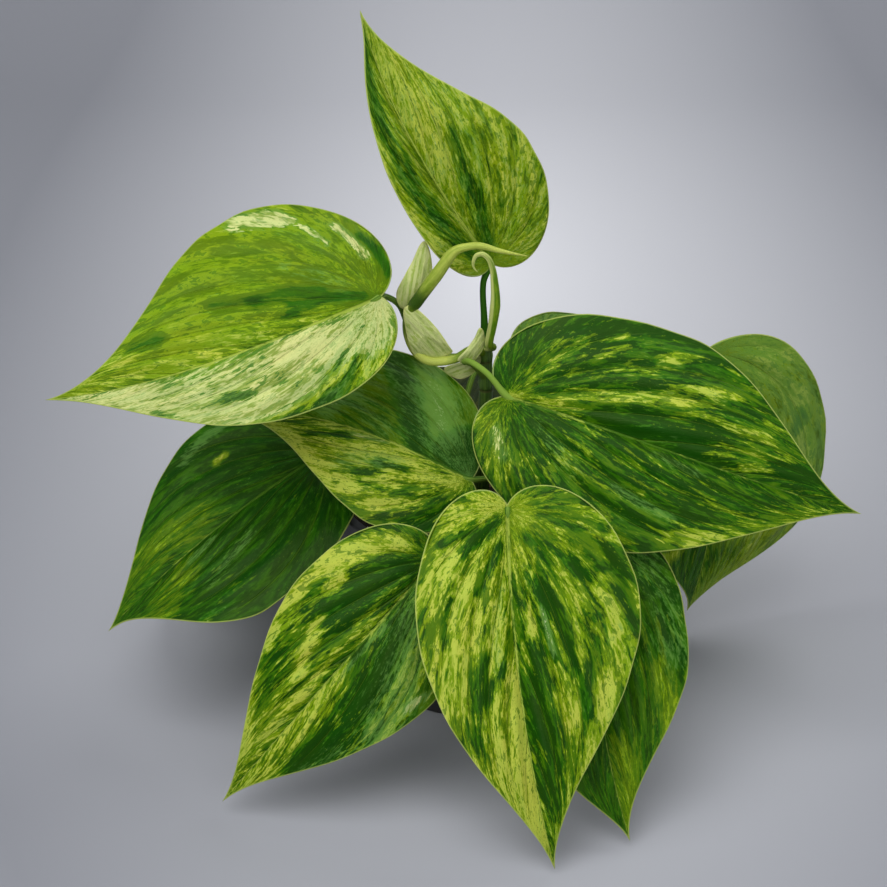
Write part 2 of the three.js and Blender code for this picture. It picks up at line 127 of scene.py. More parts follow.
class Look:
    """A material under construction: a Principled shader and the fields that feed it."""

    def __init__(self, name, constants=()):
        self.material = bpy.data.materials.new(name)
        self.material.use_nodes = True
        self.tree = self.material.node_tree
        self.shader = self.tree.nodes["Principled BSDF"]
        for entry, value in constants:
            self.shader.inputs[entry].default_value = value

    def attribute(self, name):
        """The three numbers of a point attribute."""
        node = self.tree.nodes.new("ShaderNodeAttribute")
        node.attribute_name = name
        return self.split(node.outputs["Vector"])

    def place(self):
        """Object coordinates, in metres."""
        node = self.tree.nodes.new("ShaderNodeTexCoord")
        return self.split(node.outputs["Object"])

    def split(self, socket):
        """The three numbers of a vector."""
        node = self.tree.nodes.new("ShaderNodeSeparateXYZ")
        self.tree.links.new(socket, node.inputs[0])
        return [Field(self.tree, output) for output in node.outputs]

    def join(self, *fields):
        """A vector of three fields or numbers."""
        node = self.tree.nodes.new("ShaderNodeCombineXYZ")
        for entry, field in zip(node.inputs, fields):
            if isinstance(field, Field):
                self.tree.links.new(field.socket, entry)
            else:
                entry.default_value = field
        return node.outputs[0]

    def noise(self, x, y, z, detail=2.0, roughness=0.5, distortion=0.0):
        """Cloudy noise from 0 to 1, mostly near a half, at a place that the fields give."""
        node = self.tree.nodes.new("ShaderNodeTexNoise")
        self.tree.links.new(self.join(x, y, z), node.inputs["Vector"])
        node.inputs["Scale"].default_value = 1
        node.inputs["Detail"].default_value = detail
        node.inputs["Roughness"].default_value = roughness
        node.inputs["Distortion"].default_value = distortion
        return Field(self.tree, node.outputs["Fac"])

    def paint(self, under, over, amount):
        """Colour under with colour over on it. A colour is a socket or four numbers."""
        node = self.tree.nodes.new("ShaderNodeMix")
        node.data_type = "RGBA"
        self.tree.links.new(amount.socket, node.inputs["Factor"])
        for entry, colour in zip(node.inputs[6:8], (under, over)):
            if isinstance(colour, tuple):
                entry.default_value = colour
            else:
                self.tree.links.new(colour, entry)
        return node.outputs[2]

    def tint(self, colour, hue, value):
        """The colour with its hue turned from a half and its brightness multiplied."""
        node = self.tree.nodes.new("ShaderNodeHueSaturation")
        self.tree.links.new(colour, node.inputs["Color"])
        self.tree.links.new(hue.socket, node.inputs["Hue"])
        self.tree.links.new(value.socket, node.inputs["Value"])
        return node.outputs["Color"]

    def feed(self, entry, value):
        """Leads a field or a colour into the shader."""
        socket = value.socket if isinstance(value, Field) else value
        self.tree.links.new(socket, self.shader.inputs[entry])

    def bump(self, height, distance):
        """Raises the surface by height, a field from 0 to 1, times distance in metres."""
        node = self.tree.nodes.new("ShaderNodeBump")
        node.inputs["Strength"].default_value = 1
        node.inputs["Distance"].default_value = distance
        self.tree.links.new(height.socket, node.inputs["Height"])
        self.tree.links.new(node.outputs["Normal"], self.shader.inputs["Normal"])


def lathe(profile, segments):
    """A closed surface of revolution. Profile points are (radius, height), from axis to axis."""
    vertices, faces, rings = [], [], []
    for radius, height in profile:
        if radius == 0:
            rings.append([len(vertices)])
            vertices.append((0, 0, height))
            continue
        rings.append([len(vertices) + k for k in range(segments)])
        for k in range(segments):
            angle = TURN * k / segments
            vertices.append((radius * math.cos(angle), radius * math.sin(angle), height))
    for low, high in zip(rings, rings[1:]):
        for k in range(segments):
            corners = [low[k % len(low)], low[(k + 1) % len(low)]]
            corners += [high[(k + 1) % len(high)], high[k % len(high)]]
            corners = list(dict.fromkeys(corners))
            if len(corners) > 2:
                faces.append(corners)
    return vertices, faces


def rounded(points, radius_of, steps):
    """A profile whose corners are rounded. radius_of maps a corner's index to its radius."""
    rounded_points = []
    for i, point in enumerate(points):
        if i not in radius_of:
            rounded_points.append(point)
            continue
        corner = np.array(point, float)
        before = np.array(points[i - 1], float) - corner
        after = np.array(points[i + 1], float) - corner
        reach = radius_of[i]
        start = corner + before / np.linalg.norm(before) * reach
        end = corner + after / np.linalg.norm(after) * reach
        for step in range(steps + 1):
            t = step / steps
            rounded_points.append(tuple((1 - t) ** 2 * start + 2 * t * (1 - t) * corner + t * t * end))
    return rounded_points


def split_long(points, longest):
    """The same profile with points added, so that no stretch is much longer than longest."""
    split_points = []
    for start, end in zip(points, points[1:]):
        start, end = np.array(start, float), np.array(end, float)
        pieces = max(1, int(math.dist(start, end) / longest))
        split_points += [tuple(start + (end - start) * k / pieces) for k in range(pieces)]
    return [*split_points, points[-1]]


# The part's own sizes. The foot ring and the centre pad stand out from the recessed floor.
POT_HEIGHT = 70
POT_BASE_RADIUS = 31
POT_TOP_RADIUS = 43.4
POT_WALL = 1.6
POT_FLOOR = 2.4
POT_SEGMENTS = 144
RIM_RADIUS = 45
RIM_BAND = 11
RIM_FOOT = POT_HEIGHT - RIM_BAND
FOOT_RECESS = 1.4
FOOT_INSIDE = 27
INSIDE_FLOOR = FOOT_RECESS + POT_FLOOR
PAD_RADIUS = 9
DRAIN_HOLES = 6
DRAIN_RADIUS = 3.5
DRAIN_CIRCLE = 19
DRAIN_SIDES = 32
# Keeps the corners of the cuts off the shell's own edges
DRAIN_TURN = 0.07


def pot_wall(height):
    """Outer radius of the pot's tapered wall."""
    return POT_BASE_RADIUS + (POT_TOP_RADIUS - POT_BASE_RADIUS) * height / POT_HEIGHT


pot_look = Look("charcoal plastic")
x, y, z = pot_look.place()
dust = pot_look.noise(x * 60, y * 60, z * 60, 5, 0.6)
flow = pot_look.noise(x * 90, y * 90, z * 500, 3, 0.6)
grain = pot_look.noise(x * 2500, y * 2500, z * 2500, 2, 0.5)
height = z / MM
corner = height.rise(RIM_FOOT - 5, RIM_FOOT - 0.5) * height.rise(RIM_FOOT - 0.2, RIM_FOOT + 0.2, 1, 0)
low = height.rise(0, 14, 1, 0)
colour = pot_look.paint(srgb(38, 40, 42), srgb(52, 54, 56), flow.rise(0.35, 0.65))
settled = (dust + 0.25 * corner + 0.2 * low).rise(0.52, 0.85, 0, 0.5)
pot_look.feed("Base Color", pot_look.paint(colour, srgb(96, 90, 80), settled))
pot_look.feed("Roughness", (settled * 0.35 + flow * 0.12) + 0.38)
pot_look.bump(grain * 0.7 + flow * 0.3, 0.00006)

POT_PROFILE = [
    (0, 0), (PAD_RADIUS, 0), (PAD_RADIUS + FOOT_RECESS, FOOT_RECESS),
    (FOOT_INSIDE - FOOT_RECESS, FOOT_RECESS), (FOOT_INSIDE, 0), (POT_BASE_RADIUS, 0),
    (pot_wall(RIM_FOOT), RIM_FOOT), (RIM_RADIUS, RIM_FOOT), (RIM_RADIUS, POT_HEIGHT),
    (POT_TOP_RADIUS - POT_WALL, POT_HEIGHT),
    (pot_wall(INSIDE_FLOOR) - POT_WALL, INSIDE_FLOOR), (0, INSIDE_FLOOR),
]
# How far each of the profile's corners is rounded off
POT_ROUNDING = {1: 0.5, 2: 0.5, 3: 0.5, 4: 0.5, 5: 0.9, 6: 0.5, 7: 0.9, 8: 0.9, 9: 0.6, 10: 1.2}
ROUNDING_STEPS, LONGEST_FACE = 5, 6
fine_profile = split_long(rounded(POT_PROFILE, POT_ROUNDING, ROUNDING_STEPS), LONGEST_FACE)
vertices, faces = lathe(fine_profile, POT_SEGMENTS)
pot = new_object("pot_shell", vertices, faces, pot_look.material)
cutters = []
for k in range(DRAIN_HOLES):
    angle = TURN * k / DRAIN_HOLES
    bpy.ops.mesh.primitive_cylinder_add(
        vertices=DRAIN_SIDES, radius=DRAIN_RADIUS * MM, depth=12 * MM, rotation=(0, 0, angle + DRAIN_TURN),
        location=(DRAIN_CIRCLE * MM * math.cos(angle), DRAIN_CIRCLE * MM * math.sin(angle), 2 * MM))
    cutter = bpy.context.object
    cut = pot.modifiers.new("drain hole", "BOOLEAN")
    cut.object, cut.solver = cutter, "EXACT"
    cutters.append(cutter)
depsgraph = bpy.context.evaluated_depsgraph_get()
drilled = bpy.data.meshes.new_from_object(pot.evaluated_get(depsgraph))
pot.modifiers.clear()
pot.data = drilled
for cutter in cutters:
    bpy.data.objects.remove(cutter)
drilled.polygons.foreach_set("use_smooth", [True] * len(drilled.polygons))
drilled.set_sharp_from_angle(angle=math.radians(50))
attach(pot, "root")
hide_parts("pot")

# Soil: damp potting mix that fills the pot to under the rim, mounded and lumpy.
# Dark peat with fibres. It sits in the shell, and the stems stand in it.
soil_look = Look("damp potting mix", [("Roughness", 0.92)])
x, y, z = soil_look.place()
lumps = soil_look.noise(x * 300, y * 300, z * 300, 6, 0.7)
clods = soil_look.noise(x * 90, y * 90, z * 90, 4, 0.6)
colour = soil_look.paint(srgb(24, 18, 12), srgb(62, 46, 32), lumps.rise(0.38, 0.66))
soil_look.feed("Base Color", soil_look.paint(colour, srgb(16, 12, 9), clods.rise(0.5, 0.65)))
soil_look.bump(lumps * 0.7 + clods * 0.3, 0.0022)

SOIL_LEVEL = 61
SOIL_MOUND = 3
SOIL_LUMP = 0.9
SOIL_GAP = 0.3
SOIL_RINGS, SOIL_SEGMENTS = 44, 132


def soil_top(x, y):
    """The mound's height at a place, as the part has it, with finer lumps added."""
    inwards = 1 - math.hypot(x, y) / RIM_RADIUS
    waves = math.sin(x * 0.3) * math.cos(y * 0.3) + math.sin((x - 2 * y) * 0.4) / 2
    fine = noise.fractal(Vector((x, y, 3)) / 4, 0.8, 2.2, 4)
    return SOIL_LEVEL + SOIL_MOUND * inwards + SOIL_LUMP * waves + SOIL_LUMP * fine


def soil_radius(height):
    """How wide the mix is inside the pot's wall."""
    return pot_wall(height) - POT_WALL - SOIL_GAP


soil_foot = INSIDE_FLOOR + SOIL_GAP
vertices, faces = [(0, 0, soil_top(0, 0))], []
for ring in range(1, SOIL_RINGS + 2):
    below = ring > SOIL_RINGS
    radius = soil_radius(soil_foot) if below else soil_radius(SOIL_LEVEL - SOIL_MOUND) * ring / SOIL_RINGS
    for k in range(SOIL_SEGMENTS):
        angle = TURN * k / SOIL_SEGMENTS
        px, py = radius * math.cos(angle), radius * math.sin(angle)
        vertices.append((px, py, soil_foot if below else soil_top(px, py)))
vertices.append((0, 0, soil_foot))
for k in range(SOIL_SEGMENTS):
    after = (k + 1) % SOIL_SEGMENTS
    faces.append((0, 1 + k, 1 + after))
    for ring in range(SOIL_RINGS):
        inner, outer = 1 + ring * SOIL_SEGMENTS, 1 + (ring + 1) * SOIL_SEGMENTS
        faces.append((inner + k, outer + k, outer + after, inner + after))
    last = 1 + SOIL_RINGS * SOIL_SEGMENTS
    faces.append((len(vertices) - 1, last + after, last + k))
soil = new_object("potting_mix", vertices, faces, soil_look.material)
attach(soil, "root")
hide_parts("soil")

# Crumbs: bark chips and white perlite grains that lie loose on the mix, strewn over the mound's top.
# A node tree scatters both kinds, each turned and sized at random, and makes them one plain mesh.


def node_tree(name, numbers):
    """A Geometry Nodes tree with a mesh in, a mesh out and named numbers, and a way to add its nodes."""
    tree = bpy.data.node_groups.new(name, "GeometryNodeTree")
    tree.interface.new_socket("Mesh", in_out="INPUT", socket_type="NodeSocketGeometry")
    tree.interface.new_socket("Mesh", in_out="OUTPUT", socket_type="NodeSocketGeometry")
    for number in numbers:
        tree.interface.new_socket(number, in_out="INPUT", socket_type="NodeSocketFloat")

    def add(kind, settings=None, **values):
        """A node of the kind, with its inputs set to values or led from sockets."""
        node = tree.nodes.new(kind)
        for key, value in (settings or {}).items():
            setattr(node, key, value)
        for key, value in values.items():
            entry = node.inputs[key.replace("_", " ")]
            if isinstance(value, bpy.types.NodeSocket):
                tree.links.new(value, entry)
            else:
                entry.default_value = value
        return node
    return tree, add


def bake_nodes(obj, tree, values):
    """The object's mesh replaced with what the tree makes of it."""
    modifier = obj.modifiers.new("nodes", "NODES")
    modifier.node_group = tree
    for item in tree.interface.items_tree:
        if item.in_out == "INPUT" and item.name in values:
            modifier[item.identifier] = values[item.name]
    depsgraph = bpy.context.evaluated_depsgraph_get()
    made = bpy.data.meshes.new_from_object(obj.evaluated_get(depsgraph))
    obj.modifiers.clear()
    obj.data = made


bark_look = Look("bark chips", [("Roughness", 0.85)])
x, y, z = bark_look.place()
fibre = bark_look.noise(x * 700, y * 700, z * 2200, 3, 0.6)
bark_colour = bark_look.paint(srgb(44, 30, 20), srgb(104, 76, 50), fibre.rise(0.35, 0.65))
bark_look.feed("Base Color", bark_colour)
bark_look.bump(fibre, 0.0004)
perlite_look = Look("perlite", [("Roughness", 0.8)])
x, y, z = perlite_look.place()
pores = perlite_look.noise(x * 1800, y * 1800, z * 1800, 3, 0.6)
perlite_colour = perlite_look.paint(srgb(150, 146, 136), srgb(220, 218, 210), pores.rise(0.4, 0.6))
perlite_look.feed("Base Color", perlite_colour)
perlite_look.bump(pores, 0.0003)

CHIPS, GRAINS, CRUMB = "Chips per square metre", "Grains per square metre", "Crumb radius"
CRUMB_SIZES = {CHIPS: 90000.0, GRAINS: 22000.0, CRUMB: 0.0009}
# Seed, how many, how each is stretched, and of what
CRUMB_KINDS = [
    (3, CHIPS, (2.2, 1.3, 0.6), bark_look),
    (8, GRAINS, (1.1, 1, 0.8), perlite_look),
]
DENT = 2e-4
# Rings of the mound, next to the wall, on which no crumbs lie
BARE_RINGS = 2

crumb_tree, add = node_tree("strewn crumbs", CRUMB_SIZES)
given = add("NodeGroupInput").outputs
joined = add("GeometryNodeJoinGeometry")
for seed, count, stretch, look in CRUMB_KINDS:
    points = add("GeometryNodeDistributePointsOnFaces", Mesh=given["Mesh"], Density=given[count], Seed=seed)
    ball = add("GeometryNodeMeshIcoSphere", Radius=given[CRUMB], Subdivisions=1)
    dent = add("FunctionNodeRandomValue", {"data_type": "FLOAT_VECTOR"}, Seed=seed)
    dent.inputs[0].default_value, dent.inputs[1].default_value = (-DENT,) * 3, (DENT,) * 3
    dented = add("GeometryNodeSetPosition", Geometry=ball.outputs["Mesh"], Offset=dent.outputs[0])
    long = add("GeometryNodeTransform", Geometry=dented.outputs[0], Scale=stretch)
    turn = add("FunctionNodeRandomValue", {"data_type": "FLOAT_VECTOR"}, Seed=seed + 1)
    turn.inputs[0].default_value, turn.inputs[1].default_value = (-0.5, -0.5, 0), (0.5, 0.5, TURN)
    grow = add("FunctionNodeRandomValue", {"data_type": "FLOAT"}, Seed=seed + 2)
    grow.inputs[2].default_value, grow.inputs[3].default_value = 0.45, 1.3
    strewn = add("GeometryNodeInstanceOnPoints", Points=points.outputs["Points"],
                 Instance=long.outputs[0], Rotation=turn.outputs[0], Scale=grow.outputs[1])
    real = add("GeometryNodeRealizeInstances", Geometry=strewn.outputs[0])
    dressed = add("GeometryNodeSetMaterial", Geometry=real.outputs[0], Material=look.material)
    crumb_tree.links.new(dressed.outputs[0], joined.inputs[0])
crumb_tree.links.new(joined.outputs[0], add("NodeGroupOutput").inputs[0])
top_points = 1 + (SOIL_RINGS - BARE_RINGS) * SOIL_SEGMENTS
top_faces = [face for face in faces if max(face) <= top_points]
crumbs = new_object("potting_crumbs", vertices[:top_points + 1], top_faces, bark_look.material)
bake_nodes(crumbs, crumb_tree, CRUMB_SIZES)
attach(crumbs, "root")
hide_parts("soil")

# Stems: short vines that rise out of the soil, each one grown shoot, swollen at its nodes.
# Waxy mid-green tissue with brown rings where old sheaths came off.


def unit(vectors):
    """The vectors at length one."""
    return vectors / np.linalg.norm(vectors, axis=-1, keepdims=True)


def lengths_along(path):
    """How far along the path each of its points lies."""
    steps = np.linalg.norm(np.diff(path, axis=0), axis=1)
    return np.concatenate([[0], np.cumsum(steps)])


def smooth_path(points, count):
    """Places at even lengths along the smooth curve through the points, as in the part."""
    points = [np.array(point, float) for point in points]
    points = [2 * points[0] - points[1], *points, 2 * points[-1] - points[-2]]
    dense = []
    for p0, p1, p2, p3 in zip(points, points[1:], points[2:], points[3:]):
        d0, d1, d2 = (max(math.dist(a, b) ** 0.5, 1e-4) for a, b in ((p0, p1), (p1, p2), (p2, p3)))
        t1 = ((p1 - p0) / d0 - (p2 - p0) / (d0 + d1) + (p2 - p1) / d1) * d1
        t2 = ((p2 - p1) / d1 - (p3 - p1) / (d1 + d2) + (p3 - p2) / d2) * d1
        for t in np.linspace(0, 1, 40, endpoint=False):
            dense.append((2 * t**3 - 3 * t**2 + 1) * p1 + (t**3 - 2 * t**2 + t) * t1
                         + (3 * t**2 - 2 * t**3) * p2 + (t**3 - t**2) * t2)
    dense = np.array([*dense, points[-2]])
    lengths = lengths_along(dense)
    wanted = np.linspace(0, lengths[-1], count + 1)
    return np.stack([np.interp(wanted, lengths, dense[:, axis]) for axis in range(3)], axis=1)


def tube(path, radii, sides, form=None):
    """A closed tube, round or with a section of its own form. Gives vertices, faces and, for each
    vertex, its way along in mm and the cosine and sine of its angle."""
    tangents = unit(np.gradient(path, axis=0))
    side = unit(np.cross(tangents[0], (0.31, 0.87, 0.38)))
    vertices, faces, ways = [], [], []
    for centre, tangent, radius, length in zip(path, tangents, radii, lengths_along(path)):
        side = unit(side - tangent * (side @ tangent))
        other = np.cross(tangent, side)
        for k in range(sides):
            angle = TURN * k / sides
            reach = radius * (form(angle) if form else 1)
            vertices.append(centre + reach * (math.cos(angle) * side + math.sin(angle) * other))
            ways.append((length, math.cos(angle), math.sin(angle)))
    for i in range(len(path) - 1):
        low, high = i * sides, (i + 1) * sides
        for k in range(sides):
            after = (k + 1) % sides
            faces.append((low + k, low + after, high + after, high + k))
    faces.append(tuple(reversed(range(sides))))
    faces.append(tuple(range(len(vertices) - sides, len(vertices))))
    return vertices, faces, ways


def set_points(obj, name, values):
    """A point attribute of three numbers."""
    attribute = obj.data.attributes.new(name, "FLOAT_VECTOR", "POINT")
    attribute.data.foreach_set("vector", np.asarray(values, float).ravel())


stem_look = Look("green vine", [("Coat Weight", 0.1)])
length, around, about = stem_look.attribute("way")
mark, _, _ = stem_look.attribute("mark")
streak = stem_look.noise(around * 4, about * 4, length * 0.06, 3, 0.6)
fleck = stem_look.noise(around * 9, about * 9, length * 0.9, 3, 0.6)
colour = stem_look.paint(srgb(62, 98, 30), srgb(104, 140, 52), streak.rise(0.35, 0.65))
colour = stem_look.paint(colour, srgb(142, 165, 80), fleck.rise(0.6, 0.72) * 0.6)
scar = (mark + fleck * 0.5 - 0.25).rise(0.35, 0.75)
stem_look.feed("Base Color", stem_look.paint(colour, srgb(96, 92, 44), scar * 0.6))
stem_look.feed("Roughness", scar * 0.3 + 0.42)
stem_look.bump(streak * 0.6 + fleck * 0.4 - scar * 0.5, 0.0003)

# Radii at foot and top, points that the vine passes, and how far up it its nodes are
STEMS = {
    "stem_main": ((2.7, 2.1), [(4, 6, 35), (4, 6, 70), (5, 6, 98), (4.5, 3, 121)], (0.5, 0.8, 0.93)),
    "stem_left": ((2.4, 1.9), [(-10, 9, 35), (-10, 9, 70), (-12, 12, 86), (-14, 14, 100)], (0.6, 0.75)),
    "stem_front": ((2.4, 1.9), [(15, -13, 35), (15, -13, 66), (15, -14, 80), (16, -16, 92)],
                   (0.65, 0.8, 0.9)),
    "stem_right": ((2.4, 1.9), [(21, 6, 35), (21, 6, 70), (22, 8, 90), (24, 10, 102)], (0.6, 0.7, 0.88)),
    "stem_back": ((2.4, 1.9), [(-2, 26, 35), (-2, 26, 70), (-3, 27, 80), (-5, 29, 90)], (0.8, 0.95)),
}
STEM_STEPS, STEM_SIDES = 160, 24
NODE_SWELLING = 0.14


def near(shares, places, width):
    """A number for each share along a vine, which rises to one at each of the places."""
    return sum(np.exp(-((shares - place) / width) ** 2) for place in places)


for name, ((foot, end), points, nodes) in STEMS.items():
    path = smooth_path(points, STEM_STEPS)
    share = np.linspace(0, 1, len(path))
    radii = (foot + (end - foot) * share) * (1 + NODE_SWELLING * near(share, nodes, 0.018))
    radii *= 1 - 0.75 * np.clip((share - 0.965) / 0.035, 0, 1) ** 2
    vertices, faces, ways = tube(path, radii, STEM_SIDES)
    stem = new_object(name + "_vine", vertices, faces, stem_look.material)
    set_points(stem, "way", ways)
    rings = near(share + 0.02, nodes, 0.008)
    set_points(stem, "mark", [(ring, 0, 0) for ring in rings for _ in range(STEM_SIDES)])
    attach(stem, "root")
    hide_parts(name)

# Leaves: each is a heart-shaped blade and its stalk, grown as one piece, about half a millimetre thick.
# Waxy tissue, dark green with lime and cream streaks along its veins, which leave the midrib in arcs.
# Blades follow the part's own formulas and sizes, with far more points, a finer wave and low relief.

